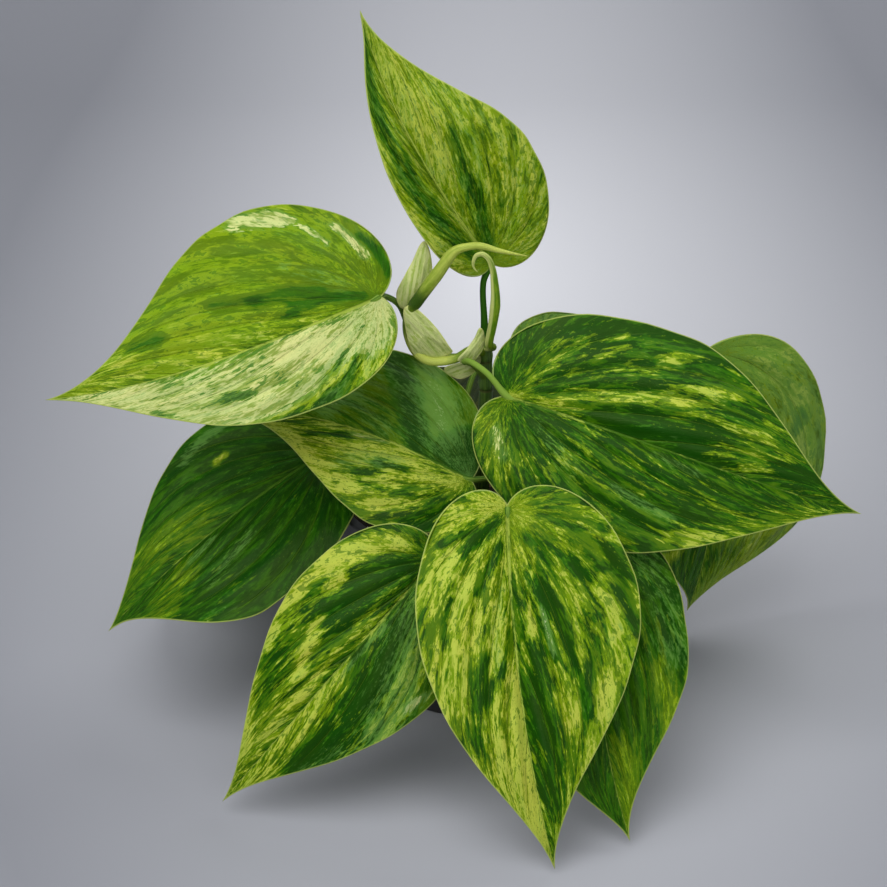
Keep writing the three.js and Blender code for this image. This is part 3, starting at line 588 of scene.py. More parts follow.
# base, tip, face and the sizes after them are the part's own. lime, cream and the milky veil of painted
# sheen (a painted reflection) are how much of each the blade has all over, calm is how little its streaks
# vary, and strokes are its larger marks: kind, from (u, v), to (u, v), width and strength. u runs along
# the midrib, v out to the left half.
# A leaf's stalk tone paints its stalk lighter, as a painted highlight, above zero, and darker, as painted
# shade, below it.
LEAF_COMMON = {
    "lobe": (0.085, 0.085), "belly": (0.29, 0.29), "shoulder": (0.33, 0.33), "drip": (0.8, 0.8),
    "fold": (8, 8), "curl": (-20, -20), "arch": (8, 8), "sweep": (0, 0), "wave": 0.6, "waves": 1.3,
    "lime": 0.0, "cream": -0.5, "painted_sheen": -0.2, "calm": 0.0, "stalk_tone_and_painted_light": 0.0, "strokes": (),
}
LEAVES = {
    "leaf_front": {
        "base": (10.4, -58, 96), "tip": (24.7, -110, 2), "face": (0, -0.87, 0.5),
        "wide": (38, 29.5), "lobe": (0.08, 0.065), "shoulder": (0.28, 0.3),
        "fold": (4, 22), "curl": (-14, -14), "sweep": (-4, -4.5),
        "stem": "stem_front", "way": 0.9, "stalk": [(14, -36, 82.4), (12, -50, 86)],
        "lime": -0.05, "calm": -0.15,
        "strokes": [
            ("lime", 0.25, -0.14, 0.8, -0.06, 0.16, 0.25), ("lime", 0, -0.04, 0.05, -0.2, 0.06, 0.15),
            ("dark", 0.03, -0.03, 0.12, -0.13, 0.018, 0.5), ("dark", 0.05, -0.1, 0.1, -0.19, 0.014, 0.45),
            ("dark", 0.4, -0.1, 0.62, -0.15, 0.025, 0.45), ("dark", 0.2, -0.17, 0.35, -0.2, 0.015, 0.4),
            ("dark", 0.42, -0.05, 0.5, -0.1, 0.018, 0.5), ("dark", 0.1, -0.03, 0.22, -0.1, 0.014, 0.45),
            ("lime", 0.45, -0.015, 0.9, -0.015, 0.025, 0.4), ("lime", 0, 0.03, 0.12, 0.03, 0.05, 0.2),
            ("dark", 0.25, 0.03, 0.6, 0.05, 0.045, 0.22), ("dark", 0.6, 0.04, 0.95, 0.015, 0.04, 0.18),
            ("lime", 0.28, 0.045, 0.34, 0.05, 0.014, 0.7), ("lime", 0.36, 0.02, 0.42, 0.03, 0.008, 0.35),
            ("dark", 0.08, 0.05, 0.25, 0.3, 0.02, 0.3), ("dark", 0.2, 0.08, 0.58, 0.17, 0.018, 0.4),
            ("lime", 0.1, 0.12, 0.4, 0.16, 0.03, 0.08), ("calm", 0.1, 0.1, 0.8, 0.1, 0.2, 0.35),
            ("lime", 0.22, 0.25, 0.35, 0.28, 0.02, 0.3), ("lime", 0.4, 0.17, 0.6, 0.13, 0.018, 0.28),
            ("lime", 0.52, 0.1, 0.62, 0.11, 0.015, 0.35), ("lime", 0.5, 0.24, 0.92, 0.03, 0.03, 0.24),
            ("painted_sheen", 0.28, 0.08, 0.4, 0.1, 0.008, 1), ("painted_sheen", 0.2, -0.03, 0.4, -0.06, 0.02, 0.35),
        ],
    },
    "leaf_lower_left": {
        "base": (-10.7, -58, 78), "tip": (-76.6, -81, 4.5), "face": (-0.1, -0.87, 0.5),
        "wide": (28, 27.5), "lobe": (0.08, 0.05), "shoulder": (0.33, 0.28),
        "stem": "stem_front", "way": 0.65, "stalk": [(12, -36, 77), (3, -50, 78.5)],
        "lime": -0.15, "calm": 0.05,
        "strokes": [
            ("lime", 0.04, -0.12, 0.2, -0.23, 0.035, 0.5), ("lime", 0.2, -0.23, 0.5, -0.24, 0.03, 0.5),
            ("lime", 0.5, -0.24, 0.8, -0.08, 0.03, 0.45), ("lime", 0.22, -0.17, 0.27, -0.18, 0.02, 0.5),
            ("lime", 0.35, -0.14, 0.52, -0.08, 0.02, 0.5), ("lime", 0.4, -0.04, 0.6, -0.03, 0.02, 0.35),
            ("lime", 0.6, -0.04, 0.95, -0.02, 0.06, 0.25), ("dark", 0.1, -0.08, 0.35, -0.12, 0.04, 0.32),
            ("painted_sheen", 0.15, 0.08, 0.42, 0.2, 0.09, 0.55), ("painted_sheen", 0.5, 0.22, 0.75, 0.12, 0.05, 0.4),
            ("dark", 0.2, 0.06, 0.75, 0.09, 0.04, 0.32), ("painted_sheen", 0.25, 0.015, 0.45, 0.02, 0.012, 0.6),
            ("lime", 0.45, 0.02, 0.9, 0.03, 0.04, 0.32), ("lime", 0.2, 0.1, 0.45, 0.22, 0.06, 0.12),
            ("cream", 0.32, 0.24, 0.38, 0.23, 0.015, 0.7),
        ],
    },
    "leaf_lower_right": {
        "base": (40.7, -42, 76.5), "tip": (47.8, -98, 3), "face": (0.1, -0.87, 0.5),
        "wide": (28.5, 27), "lobe": (0.05, 0.07), "belly": (0.37, 0.29), "shoulder": (0.3, 0.45),
        "drip": (0.8, 0.86), "sweep": (-9, -8),
        "stem": "stem_right", "way": 0.6, "stalk": [(32, -16, 89), (39, -32, 85)],
        "lime": -0.17, "calm": 0.6,
        "strokes": [
            ("lime", 0.45, 0.2, 0.7, 0.22, 0.06, 0.2), ("painted_sheen", 0.05, 0.15, 0.4, 0.25, 0.09, 0.35),
            ("lime", 0.7, 0.05, 0.95, 0.02, 0.05, 0.2),
        ],
    },
    "leaf_right": {
        "base": (11.3, -20, 113), "tip": (119.5, -40, 83.2), "face": (-0.05, -0.8, 0.6),
        "wide": (36, 36), "belly": (0.36, 0.29), "shoulder": (0.31, 0.3), "sweep": (0, -3),
        "stem": "stem_main", "way": 0.83,
        "stalk": [(0.5, -3, 115.6), (-2, -9, 119.4), (0, -14, 122), (5, -17, 119.5)],
        # Its stalk is painted lighter, as a highlight.
        "lime": -0.24, "calm": 0.05, "stalk_tone_and_painted_light": 0.25,
        "strokes": [
            ("lime", 0.02, 0.02, 0.1, 0.16, 0.03, 0.21), ("lime", 0.1, 0.02, 0.45, 0.14, 0.02, 0.25),
            ("lime", 0.3, 0.15, 0.45, 0.26, 0.015, 0.21), ("lime", 0.45, 0.14, 0.62, 0.26, 0.05, 0.18),
            ("lime", 0.6, 0.04, 0.78, 0.16, 0.07, 0.13), ("lime", 0.02, 0.008, 0.28, 0.01, 0.015, 0.24),
            ("dark", 0.25, 0.02, 0.52, 0.04, 0.03, 0.4), ("dark", 0.76, 0.05, 0.84, 0.05, 0.025, 0.35),
            ("lime", -0.04, -0.06, 0.06, -0.2, 0.06, 0.25), ("cream", 0, -0.1, 0.04, -0.16, 0.02, 0.5),
            ("painted_sheen", 0.1, -0.05, 0.24, -0.14, 0.03, 0.32), ("painted_sheen", 0.35, -0.14, 0.52, -0.17, 0.015, 0.5),
            ("painted_sheen", 0.42, -0.02, 0.56, -0.04, 0.012, 0.5), ("lime", 0.2, -0.11, 0.32, -0.15, 0.018, 0.24),
            ("lime", 0.25, -0.24, 0.6, -0.2, 0.03, 0.23), ("lime", 0.6, -0.2, 0.88, -0.03, 0.03, 0.21),
        ],
    },
    "leaf_left": {
        "base": (-28.4, -12, 142.9), "tip": (-127.2, -40, 123.1), "face": (0, -0.6, 0.8),
        "wide": (25.5, 45), "lobe": (0.025, 0.12), "belly": (0.3, 0.22), "shoulder": (0.33, 0.38),
        "drip": (0.75, 0.74), "sweep": (7, 12),
        "stem": "stem_main", "way": 0.92,
        "stalk": [(-0.9, 6, 113.2), (-8.1, 5, 113.8), (-14.5, 4, 116.9), (-18.9, 4, 123.5), (-22, 4, 132),
                  (-26.4, -3, 139)],
        "lime": 0.04,
        "strokes": [
            ("calm", 0.05, -0.15, 0.6, -0.15, 0.2, 0.75), ("calm", 0.0, -0.2, 0.5, -0.3, 0.25, 0.35),
            ("cream", 0.02, 0.05, 0.3, 0.06, 0.055, 0.72), ("cream", 0.25, 0.08, 0.75, 0.08, 0.11, 0.76),
            ("cream", 0.7, 0.03, 0.9, 0.012, 0.03, 0.4), ("cream", 0.03, 0.12, 0.12, 0.15, 0.03, 0.45),
            ("cream", 0.3, 0.17, 0.6, 0.18, 0.03, 0.5), ("lime", 0.05, 0.08, 0.8, 0.1, 0.14, 0.12),
            ("painted_sheen", 0.05, 0.08, 0.7, 0.12, 0.14, 0.3),
            ("dark", 0.08, 0.06, 0.22, 0.15, 0.012, 0.4), ("dark", 0.14, 0.15, 0.24, 0.22, 0.02, 0.35),
            ("dark", 0.24, 0.23, 0.45, 0.245, 0.02, 0.45), ("dark", 0.31, 0.16, 0.35, 0.17, 0.016, 0.35),
            ("dark", 0.47, 0.13, 0.52, 0.125, 0.018, 0.35), ("dark", 0.67, 0.13, 0.7, 0.12, 0.012, 0.4),
            ("dark", 0.04, -0.025, 0.24, -0.07, 0.018, 0.2), ("lime", 0.5, -0.15, 0.62, -0.13, 0.02, 0.12),
            ("dark", 0.14, -0.085, 0.34, -0.125, 0.022, 0.16),
            ("dark", 0.33, -0.13, 0.47, -0.165, 0.014, 0.1),
            ("dark", 0.24, -0.045, 0.44, -0.065, 0.014, 0.12),
            ("lime", 0.3, -0.05, 0.62, -0.08, 0.02, 0.12), ("lime", 0.45, -0.02, 0.9, -0.02, 0.03, 0.1),
            ("dark", 0.63, -0.115, 0.74, -0.1, 0.018, 0.16), ("lime", 0.73, -0.08, 0.79, -0.07, 0.012, 0.3),
            ("cream", 0.14, -0.37, 0.27, -0.4, 0.035, 0.85), ("cream", 0.1, -0.33, 0.16, -0.36, 0.015, 0.75),
            ("cream", -0.03, -0.14, 0.0, -0.26, 0.018, 0.85), ("cream", 0.05, -0.22, 0.09, -0.3, 0.01, 0.7),
            ("dark", -0.07, -0.06, -0.05, -0.2, 0.02, 0.2), ("painted_sheen", 0.08, -0.08, 0.2, -0.2, 0.03, 0.35),
        ],
    },
    "leaf_center": {
        "base": (-0.6, -26, 87.3), "tip": (-74.7, -10, 100.7), "face": (0, -0.6, 0.8),
        "wide": (27, 30.5), "lobe": (0.08, 0.02), "belly": (0.26, 0.38), "shoulder": (0.3, 0.3),
        "sweep": (-3, -8),
        "stem": "stem_front", "way": 0.8, "stalk": [(7, -20, 84)],
        "lime": -0.07,
        "strokes": [
            ("lime", 0.3, 0.08, 0.9, 0.06, 0.12, 0.3), ("lime", 0.14, 0.2, 0.3, 0.27, 0.03, 0.4),
            ("lime", 0.3, 0.27, 0.75, 0.12, 0.04, 0.32), ("dark", 0.24, 0.09, 0.36, 0.11, 0.02, 0.5),
            ("dark", 0.5, 0.05, 0.66, 0.07, 0.022, 0.4), ("dark", 0.7, 0.03, 0.82, 0.03, 0.015, 0.3),
            ("dark", -0.02, 0.1, 0.2, 0.2, 0.04, 0.22), ("lime", 0.05, 0.06, 0.3, 0.08, 0.04, 0.2),
            ("dark", 0.34, 0.14, 0.4, 0.19, 0.03, 0.35), ("painted_sheen", 0.3, 0.08, 0.5, 0.16, 0.05, 0.5),
            ("dark", 0.0, 0.24, 0.14, 0.29, 0.05, 0.4), ("cream", 0.36, 0.01, 0.5, 0.03, 0.015, 0.6),
            ("lime", 0.1, -0.12, 0.9, -0.1, 0.3, 0.04), ("calm", 0.1, -0.12, 0.9, -0.1, 0.4, 0.9),
            ("painted_sheen", 0.38, -0.03, 0.5, -0.09, 0.035, 0.3),
            ("painted_sheen", 0.1, -0.12, 0.9, -0.12, 0.3, 0.3), ("painted_sheen", 0.3, -0.34, 0.18, -0.14, 0.07, 0.5),
            # The last two dark strokes are painted shade, where leaf_left and the stalk shade this half.
            ("painted_sheen", 0.62, -0.05, 0.56, -0.14, 0.04, 0.6), ("dark", 0.44, -0.34, 0.24, -0.04, 0.045, 0.3),
            ("dark", -0.02, -0.16, 0.12, -0.04, 0.07, 0.4),
        ],
    },
    "leaf_far_left": {
        "base": (-46.5, 0, 82), "tip": (-114.9, -35, 36.5), "face": (-0.3, -0.55, 0.78),
        "wide": (35, 35), "belly": (0.45, 0.29), "shoulder": (0.3, 0.25), "fold": (10, 8),
        "stem": "stem_left", "way": 0.75, "stalk": [(-26, 12, 98), (-38, 5, 94)],
        "lime": -0.23, "calm": 0.6,
        "strokes": [
            ("painted_sheen", 0.1, -0.3, 0.42, -0.3, 0.03, 0.65),
            ("lime", 0.5, -0.06, 0.88, -0.08, 0.09, 0.2), ("lime", 0.28, -0.21, 0.33, -0.21, 0.012, 0.6),
            ("painted_sheen", 0.5, 0.03, 0.62, 0.04, 0.02, 0.5), ("painted_sheen", 0.4, 0.12, 0.62, 0.18, 0.025, 0.45),
            ("lime", 0.65, 0.05, 0.85, 0.12, 0.07, 0.2),
        ],
    },
    "leaf_right_back": {
        "base": (75.5, 8, 113.9), "tip": (75, 20, 7), "face": (0.35, -0.8, 0.45),
        "wide": (43.5, 38), "lobe": (0.03, 0.05), "belly": (0.5, 0.3), "sweep": (4, 4),
        "stem": "stem_main", "way": 0.8, "stalk": [(25, 11, 114), (58, 10, 118)],
        "lime": -0.14, "calm": 0.6,
        "strokes": [
            ("painted_sheen", 0.0, 0.15, 0.5, 0.25, 0.25, 0.7), ("painted_sheen", 0.0, -0.1, 0.4, -0.2, 0.2, 0.6),
            ("lime", 0.0, 0.15, 0.5, 0.25, 0.25, 0.27),
            ("dark", 0.3, 0.3, 0.34, 0.27, 0.02, 0.4),
            ("lime", 0.7, 0.2, 0.9, 0.1, 0.08, 0.16), ("lime", 0.68, -0.13, 0.75, -0.18, 0.03, 0.35),
        ],
    },
    "leaf_above_right": {
        "base": (17.7, 18, 104.9), "tip": (74, 40, 79), "face": (0.2, -0.5, 0.85),
        "wide": (21, 22), "stem": "stem_right", "way": 0.88, "stalk": [(20, 15, 102)],
        "lime": 0.0, "calm": 0.6, "painted_sheen": 0.3, "strokes": [("painted_sheen", 0.2, 0.1, 0.5, 0.15, 0.08, 0.15)],
    },
    "leaf_top": {
        "base": (6, 10, 144.4), "tip": (-33.6, 24, 221.5), "face": (0.38, -0.87, 0.3),
        "wide": (16, 31), "lobe": (0.01, 0.085), "shoulder": (0.46, 0.26),
        "fold": (28, 25), "curl": (-10, -14), "arch": (5, 5), "sweep": (6, 9),
        "stem": "stem_main", "way": 1, "stalk": [(4.2, 3.5, 128), (3.9, 6.5, 139)],
        # Its stalk is painted darker, as shade.
        "lime": 0.13, "cream": -0.36, "calm": 0.35, "painted_sheen": 0.05, "stalk_tone_and_painted_light": -0.3,
        "strokes": [
            ("dark", 0.06, -0.03, 0.3, -0.1, 0.03, 0.26), ("dark", 0.32, -0.1, 0.5, -0.14, 0.02, 0.22),
            ("dark", 0.1, 0.05, 0.9, 0.03, 0.04, 0.3), ("lime", 0.1, 0.12, 0.55, 0.14, 0.035, 0.12),
            ("lime", 0.4, -0.05, 0.8, -0.06, 0.06, 0.15),
        ],
    },
    "leaf_back_left": {
        "base": (-30, 40, 88), "tip": (-78, 76, 18), "face": (-0.45, 0.5, 0.75), "wide": (31, 31),
        "stem": "stem_back", "way": 0.95, "stalk": [(-14, 36, 94)], "lime": -0.05,
    },
    "leaf_back": {
        "base": (6, 52, 82), "tip": (14, 108, 12), "face": (0.1, 0.75, 0.65), "wide": (32, 32),
        "sweep": (3, -2),
        "stem": "stem_back", "way": 0.8, "stalk": [(2, 42, 88)], "lime": 0.0,
    },
    "leaf_back_right": {
        "base": (38, 40, 86), "tip": (84, 84, 22), "face": (0.5, 0.5, 0.7), "wide": (30, 30),
        "stem": "stem_right", "way": 0.7, "stalk": [(28, 26, 92)], "lime": -0.03,
    },
    "leaf_side_left": {
        "base": (-48, 26, 72), "tip": (-104, 34, 4), "face": (-0.75, 0.2, 0.6), "wide": (29, 29),
        "stem": "stem_left", "way": 0.6, "stalk": [(-24, 20, 84), (-38, 25, 80)], "lime": -0.06,
    },
}

# Angle from one side vein to the next, and how far they lean towards the tip
VEIN_STEP = 0.38
VEIN_LEAN = 0.4
# Rise between two side veins as a share of their spacing, then sizes in mm
VEIN_RELIEF = 0.14
RIB_GROOVE = 0.5
SLOW_WAVE = 1.1
BLADE_THICKNESS = 0.44
LOBE_STEPS, TIP_STEPS = 30, 46
BLADE_RINGS = 38
MARGIN_INSETS = (0.8, 0.3, 0)
STALK_STEPS, STALK_SIDES = 150, 14
STALK_RADIUS, RIB_END_RADIUS = 0.95, 0.25
# Where u starts on a stalk, well past the blade's own
STALK_START = 1.6

# What a stroke of each kind adds to lime, cream, painted sheen and calm
STROKE_KINDS = {
    "lime": np.array([1, 0, 0, 0]), "cream": np.array([0.15, 1, 0, 0]), "painted_sheen": np.array([0, 0, 1, 0]),
    "dark": np.array([-1, -1, 0, 0]), "calm": np.array([0, 0, 0, 1]),
}


def bezier(points, t):
    """The places t along a cubic curve."""
    t = np.asarray(t, float)[..., None]
    p0, p1, p2, p3 = (np.asarray(point, float) for point in points)
    return (1 - t) ** 3 * p0 + 3 * (1 - t) ** 2 * t * p1 + 3 * (1 - t) * t**2 * p2 + t**3 * p3


def bezier_slope(points, t):
    """The way in which a cubic curve runs at t."""
    t = np.asarray(t, float)[..., None]
    p0, p1, p2, p3 = (np.asarray(point, float) for point in points)
    return 3 * (1 - t) ** 2 * (p1 - p0) + 6 * (1 - t) * t * (p2 - p1) + 3 * t**2 * (p3 - p2)


def blade_place(leaf, u, v):
    """Where the part's blade has the point u, v, in millimetres."""
    base, tip = np.array(leaf["base"], float), np.array(leaf["tip"], float)
    along = unit(tip - base)
    left = unit(np.cross(leaf["face"], along))
    up = np.cross(along, left)
    bows = [up * leaf["arch"][k] + left * leaf["sweep"][k] for k in (0, 1)]
    thirds = [base + (tip - base) * (k + 1) / 3 + bows[k] for k in (0, 1)]
    controls = (base, *thirds, tip)
    tangent = unit(bezier_slope(controls, np.maximum(u, 0)))
    place = bezier(controls, np.maximum(u, 0)) + tangent * (np.minimum(u, 0) * leaf["length"])[..., None]
    out = unit(left - (tangent @ left)[..., None] * tangent)
    rise = np.cross(tangent, out)
    right = (v < 0).astype(int)
    wide = np.array(leaf["wide"], float)[right]
    opened = np.radians(np.array(leaf["fold"], float))[right]
    bend = np.radians(np.array(leaf["curl"], float))[right]
    share = np.abs(v) * leaf["length"] / wide
    across = wide / bend * (np.sin(opened + bend * share) - np.sin(opened))
    lift = wide / bend * (np.cos(opened) - np.cos(opened + bend * share))
    lift = lift + leaf["wave"] * share**2 * np.sin(TURN * (leaf["waves"] * u + 0.3 + 0.37 * right))
    return place + out * (np.where(right, -across, across))[..., None] + rise * lift[..., None]


def half_outline(leaf, side):
    """Half of the heart, from the notch at the stalk round to the tip, in blade lengths."""
    wide, lobe, belly = leaf["wide"][side] / leaf["length"], leaf["lobe"][side], leaf["belly"][side]
    lobe_arc = [(-0.012, 0), (-1.75 * lobe, 0.2 * wide), (-0.35 * lobe, wide), (belly, wide)]
    shoulder = (belly + leaf["shoulder"][side], wide)
    tip_arc = [(belly, wide), shoulder, (leaf["drip"][side], 0.1 * wide), (1, 0)]
    first = bezier(lobe_arc, np.linspace(0, 1, LOBE_STEPS + 1))
    second = bezier(tip_arc, np.linspace(0, 1, TIP_STEPS + 1) ** 0.9)
    outline = np.concatenate([first, second[1:]])
    return outline * (1, -1) if side else outline


def vein_field(u, v):
    """s is the angle at which the arc through a point leaves the midrib's foot, and tau runs from foot
    to tip. scale turns both into blade lengths, and lines of equal q are the side veins."""
    v = np.abs(v)
    s = np.arctan2(v, u) + np.arctan2(v, 1 - u)
    tau = 0.5 * np.log((u**2 + v**2 + 1e-6) / ((1 - u) ** 2 + v**2 + 1e-6))
    scale = 0.5 / (np.cosh(tau) + np.cos(s) + 1e-6)
    lean = 0.5 * (tau + 1.2 + np.sqrt((tau + 1.2) ** 2 + 1.2))
    q = s - VEIN_LEAN * np.exp(-((s / 0.6) ** 2)) * lean
    return s, tau, scale, q


def smoothstep(low, high, value):
    """From 0 to 1 as the value goes from low to high, with soft ends."""
    t = np.clip((value - low) / (high - low), 0, 1)
    return t * t * (3 - 2 * t)


def painted(leaf, u, v):
    """How much lime, cream, milky painted sheen and calm each point has, its leaf's strokes included."""
    amounts = np.zeros((len(u), 4))
    amounts[:] = leaf["lime"], leaf["cream"], leaf["painted_sheen"], leaf["calm"]
    s, tau, scale, _ = vein_field(u, v)
    for kind, u0, v0, u1, v1, width, strength in leaf["strokes"]:
        (s0, s1), (t0, t1) = vein_field(np.array([u0, u1]), np.array([v0, v1]))[:2]
        ds, dt = s1 - s0, t1 - t0
        way = np.clip(((s - s0) * ds + (tau - t0) * dt) / (ds * ds + dt * dt + 1e-9), 0, 1)
        distance = np.hypot(s - s0 - way * ds, tau - t0 - way * dt) * scale
        same_side = smoothstep(-0.004, 0.004, v * math.copysign(1, v0 + v1))
        amount = strength * same_side * (1 - smoothstep(0, 1.7 * width, distance))
        amounts += amount[:, None] * STROKE_KINDS[kind]
    return amounts


def blade_grid(leaf, seed):
    """A blade's points in u and v: the stalk's end, then rings of points out to the margin. Gives also
    how far inside the margin each point lies, in mm, and how many points a ring has."""
    outline = np.concatenate([half_outline(leaf, 0), half_outline(leaf, 1)[-2:0:-1]])
    slow, quick = np.random.default_rng(seed).uniform(0, 1, 2)
    ripple = 0.006 * np.sin(TURN * (2.7 * outline[:, 0] + slow))
    outline[:, 1] *= 1 + (ripple + 0.004 * np.sin(TURN * (6.1 * outline[:, 0] + quick)))
    around = len(outline)
    reach = np.linalg.norm(outline, axis=1) * leaf["length"]
    shares = [np.full(around, (ring / BLADE_RINGS) ** 1.1) for ring in range(1, BLADE_RINGS)]
    shares += [np.clip(1 - inset / np.maximum(reach, 1), 0.93, 1) for inset in MARGIN_INSETS]
    grid = np.concatenate([[[0, 0]], *[outline * share[:, None] for share in shares]])
    span = np.roll(outline, -1, axis=0) - outline
    offset = grid[:, None, :] - outline[None]
    way = np.clip((offset * span).sum(-1) / ((span**2).sum(-1) + 1e-12), 0, 1)
    margin = np.linalg.norm(offset - way[..., None] * span, axis=-1).min(axis=1) * leaf["length"]
    margin[-around:] = 0
    return grid, margin, around


def sheet_faces(count, around):
    """A fan round the first point, then rings of four-sided faces out to the rim."""
    faces = [(0, 1 + (k + 1) % around, 1 + k) for k in range(around)]
    for ring_start in range(1, count - around, around):
        for k in range(around):
            a, b = ring_start + k, ring_start + (k + 1) % around
            faces.append((a, b, b + around, a + around))
    return faces


def point_normals(places, faces):
    """The way that the surface looks at each of its points. A triangle counts as a four-sided face
    whose last corner is its first."""
    normals = np.zeros_like(places)
    quads = np.array([face if len(face) == 4 else (*face, face[0]) for face in faces])
    corners = [places[quads[:, corner]] for corner in range(4)]
    normal = np.cross(corners[2] - corners[0], corners[3] - corners[1])
    for corner in range(4):
        np.add.at(normals, quads[:, corner], normal)
    return unit(normals)


def blade_relief(leaf, u, v, margin, seed):
    """How far each point stands over the smooth blade, in mm: pillows between the side veins, a groove
    along the midrib and slow waves."""
    scale, q = vein_field(u, v)[2:]
    spacing = VEIN_STEP * scale * leaf["length"]
    pillow = np.sqrt(np.sin(math.pi * (q / VEIN_STEP)) ** 2 + 0.02)
    from_rib = np.abs(v) * leaf["length"]
    full = smoothstep(0.5, 9, margin) * smoothstep(0.3, 5, from_rib) * smoothstep(1.5, 5, spacing)
    relief = VEIN_RELIEF * np.minimum(spacing, 10) * pillow * full
    depth = RIB_GROOVE * (1 - 0.6 * np.clip(u, 0, 1))
    relief -= depth * np.exp(-((from_rib / 1.5) ** 2)) * smoothstep(0, 0.06, u)
    waves = [noise.noise(Vector((a * 2.6 + seed * 3.1, b * 3.4, seed * 1.7))) for a, b in zip(u, v)]
    return relief + SLOW_WAVE * np.array(waves) * smoothstep(0, 12, from_rib)


def on_stem(name, way):
    """A place on a vine, which runs from 0 at its foot to 1 at its top."""
    places = smooth_path(STEMS[name][1], 200)
    return places[round(way * (len(places) - 1))]


def stalk_tube(leaf, blade_up):
    """The stalk, from its stem to the blade's notch, which goes on under the blade as its raised rib."""
    foot = on_stem(leaf["stem"], leaf["way"])
    along = np.linspace(0.03, 0.9, 12)
    no_way = np.zeros_like(along)
    spine = blade_place(leaf, along, no_way)
    ahead = blade_place(leaf, along + 0.01, no_way) - spine
    aside = blade_place(leaf, along, no_way + 0.02) - spine
    rib = 0.85 * (1 - along) + 0.25
    spine = spine - unit(np.cross(ahead, aside)) * (0.75 * rib + 0.35)[:, None]
    start = blade_place(leaf, np.array([0.0]), np.array([0.0]))[0]
    path = smooth_path([foot, *leaf["stalk"], start - blade_up * 0.5, *spine], STALK_STEPS)
    share = np.linspace(0, 1, len(path))
    reached = np.linalg.norm(path - start, axis=1).argmin() / STALK_STEPS
    under = np.clip((share - reached) / (1 - reached), 0, 1)
    radii = np.where(share < reached, STALK_RADIUS + 0.7 * np.exp(-6 * share / reached),
                     STALK_RADIUS + (RIB_END_RADIUS - STALK_RADIUS) * under**0.6)
    radii += 0.3 * np.exp(-((share - reached) * lengths_along(path)[-1] / 4) ** 2)
    return tube(path, radii, STALK_SIDES)


def build_leaf(name, leaf, seed):
    """A fine blade, thick in the middle and thin at its margin, with its stalk and the rib under it."""
    leaf = {**LEAF_COMMON, **leaf}
    leaf["length"] = math.dist(leaf["base"], leaf["tip"])
    grid, margin, around = blade_grid(leaf, seed)
    u, v = grid[:, 0], grid[:, 1]
    count = len(grid)
    middle = blade_place(leaf, u, v)
    faces = sheet_faces(count, around)
    normals = point_normals(middle, faces)
    turned = normals.mean(axis=0) @ np.array(leaf["face"]) < 0
    if turned:
        normals = -normals
        faces = [tuple(reversed(face)) for face in faces]
    middle = middle + normals * blade_relief(leaf, u, v, margin, seed)[:, None]
    normals = point_normals(middle, faces)
    half_thick = BLADE_THICKNESS / 2 * np.sqrt(np.clip((margin + 0.03) / 0.6, 0, 1))
    lift = normals * half_thick[:, None]
    faces += [tuple(count + corner for corner in reversed(face)) for face in faces]
    for k in range(around):
        a, b = count - around + k, count - around + (k + 1) % around
        faces.append((b, a, count + a, count + b) if turned else (a, b, count + b, count + a))
    stalk, stalk_faces, ways = stalk_tube(leaf, normals[0])
    faces += [tuple(2 * count + corner for corner in face) for face in stalk_faces]
    vertices = np.concatenate([middle + lift, middle - lift, stalk])
    made = new_object(name + "_blade", vertices, faces, leaf_look.material)
    blade = np.stack([u, v, margin], axis=1)
    on_stalk = [(STALK_START + length * MM, cosine, sine) for length, cosine, sine in ways]
    set_points(made, "blade", np.concatenate([blade, blade, on_stalk]))
    marks = painted(leaf, u, v)
    marks = np.concatenate([marks, marks, np.full((len(stalk), 4), leaf["stalk_tone_and_painted_light"])])
    set_points(made, "marks", marks[:, :3])
    set_points(made, "calm", np.repeat(marks[:, 3:], 3, axis=1))
    layers = np.repeat([0, 1, 2], [count, count, len(stalk)])
    set_points(made, "layer", [(layer, seed, leaf["length"] / 100) for layer in layers])
    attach(made, "root")
    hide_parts(name)


leaf_look = Look("variegated leaf", [("Specular IOR Level", 0.14), ("Specular Tint", (0.9, 1, 0.5, 1))])
u, v, margin = leaf_look.attribute("blade")
lime_bias, cream_bias, painted_sheen_bias = leaf_look.attribute("marks")
calm, _, _ = leaf_look.attribute("calm")
layer, seed, size = leaf_look.attribute("layer")
size = size * 100
reach = v.call("ABSOLUTE")
near_stalk = (u * u + reach * reach).rise(0.0, 0.03, 0.4, 0)
lively = 1 - (calm.call("MAXIMUM", 0) + near_stalk).call("MINIMUM", 0.9)
other_side = v.call("LESS_THAN", 0)

# The same field as vein_field's, and noise stretched along it, apart on each leaf and half
s = reach.call("ARCTAN2", u) + reach.call("ARCTAN2", 1 - u)
from_foot = u * u + reach * reach + 1e-6
from_tip = (1 - u) * (1 - u) + reach * reach + 1e-6
tau = (from_foot / from_tip).call("LOGARITHM", math.e) * 0.5
scale = 0.5 / (tau.call("COSH") + s.call("COSINE") + 1e-6)
lean = (tau + 1.2 + ((tau + 1.2) ** 2 + 1.2).call("SQRT")) * 0.5
q = s - VEIN_LEAN * (-(s / 0.6) ** 2).call("EXPONENT") * lean
apart = seed * 5.3 + other_side * 17.7
broad = leaf_look.noise(q * 5, tau * 1.2, apart, 1, 0.5) - 0.5
middle = leaf_look.noise(q * 11, tau * 2.3, apart + 40, 2, 0.55, 0.6) - 0.5
fine = leaf_look.noise(q * 30, tau * 9, apart + 80, 2, 0.6, 0.7) - 0.5
other = leaf_look.noise(q * 9, tau * 2.1, apart + 200, 3, 0.6, 0.6) - 0.5
blots = leaf_look.noise(q * 17, tau * 9, apart + 120, 3, 0.6, 0.5)
speck = leaf_look.noise(q * 46, tau * 24, apart + 160, 2, 0.6)
hair = leaf_look.noise(q * 110, tau * 16, apart + 240, 1, 0.5)

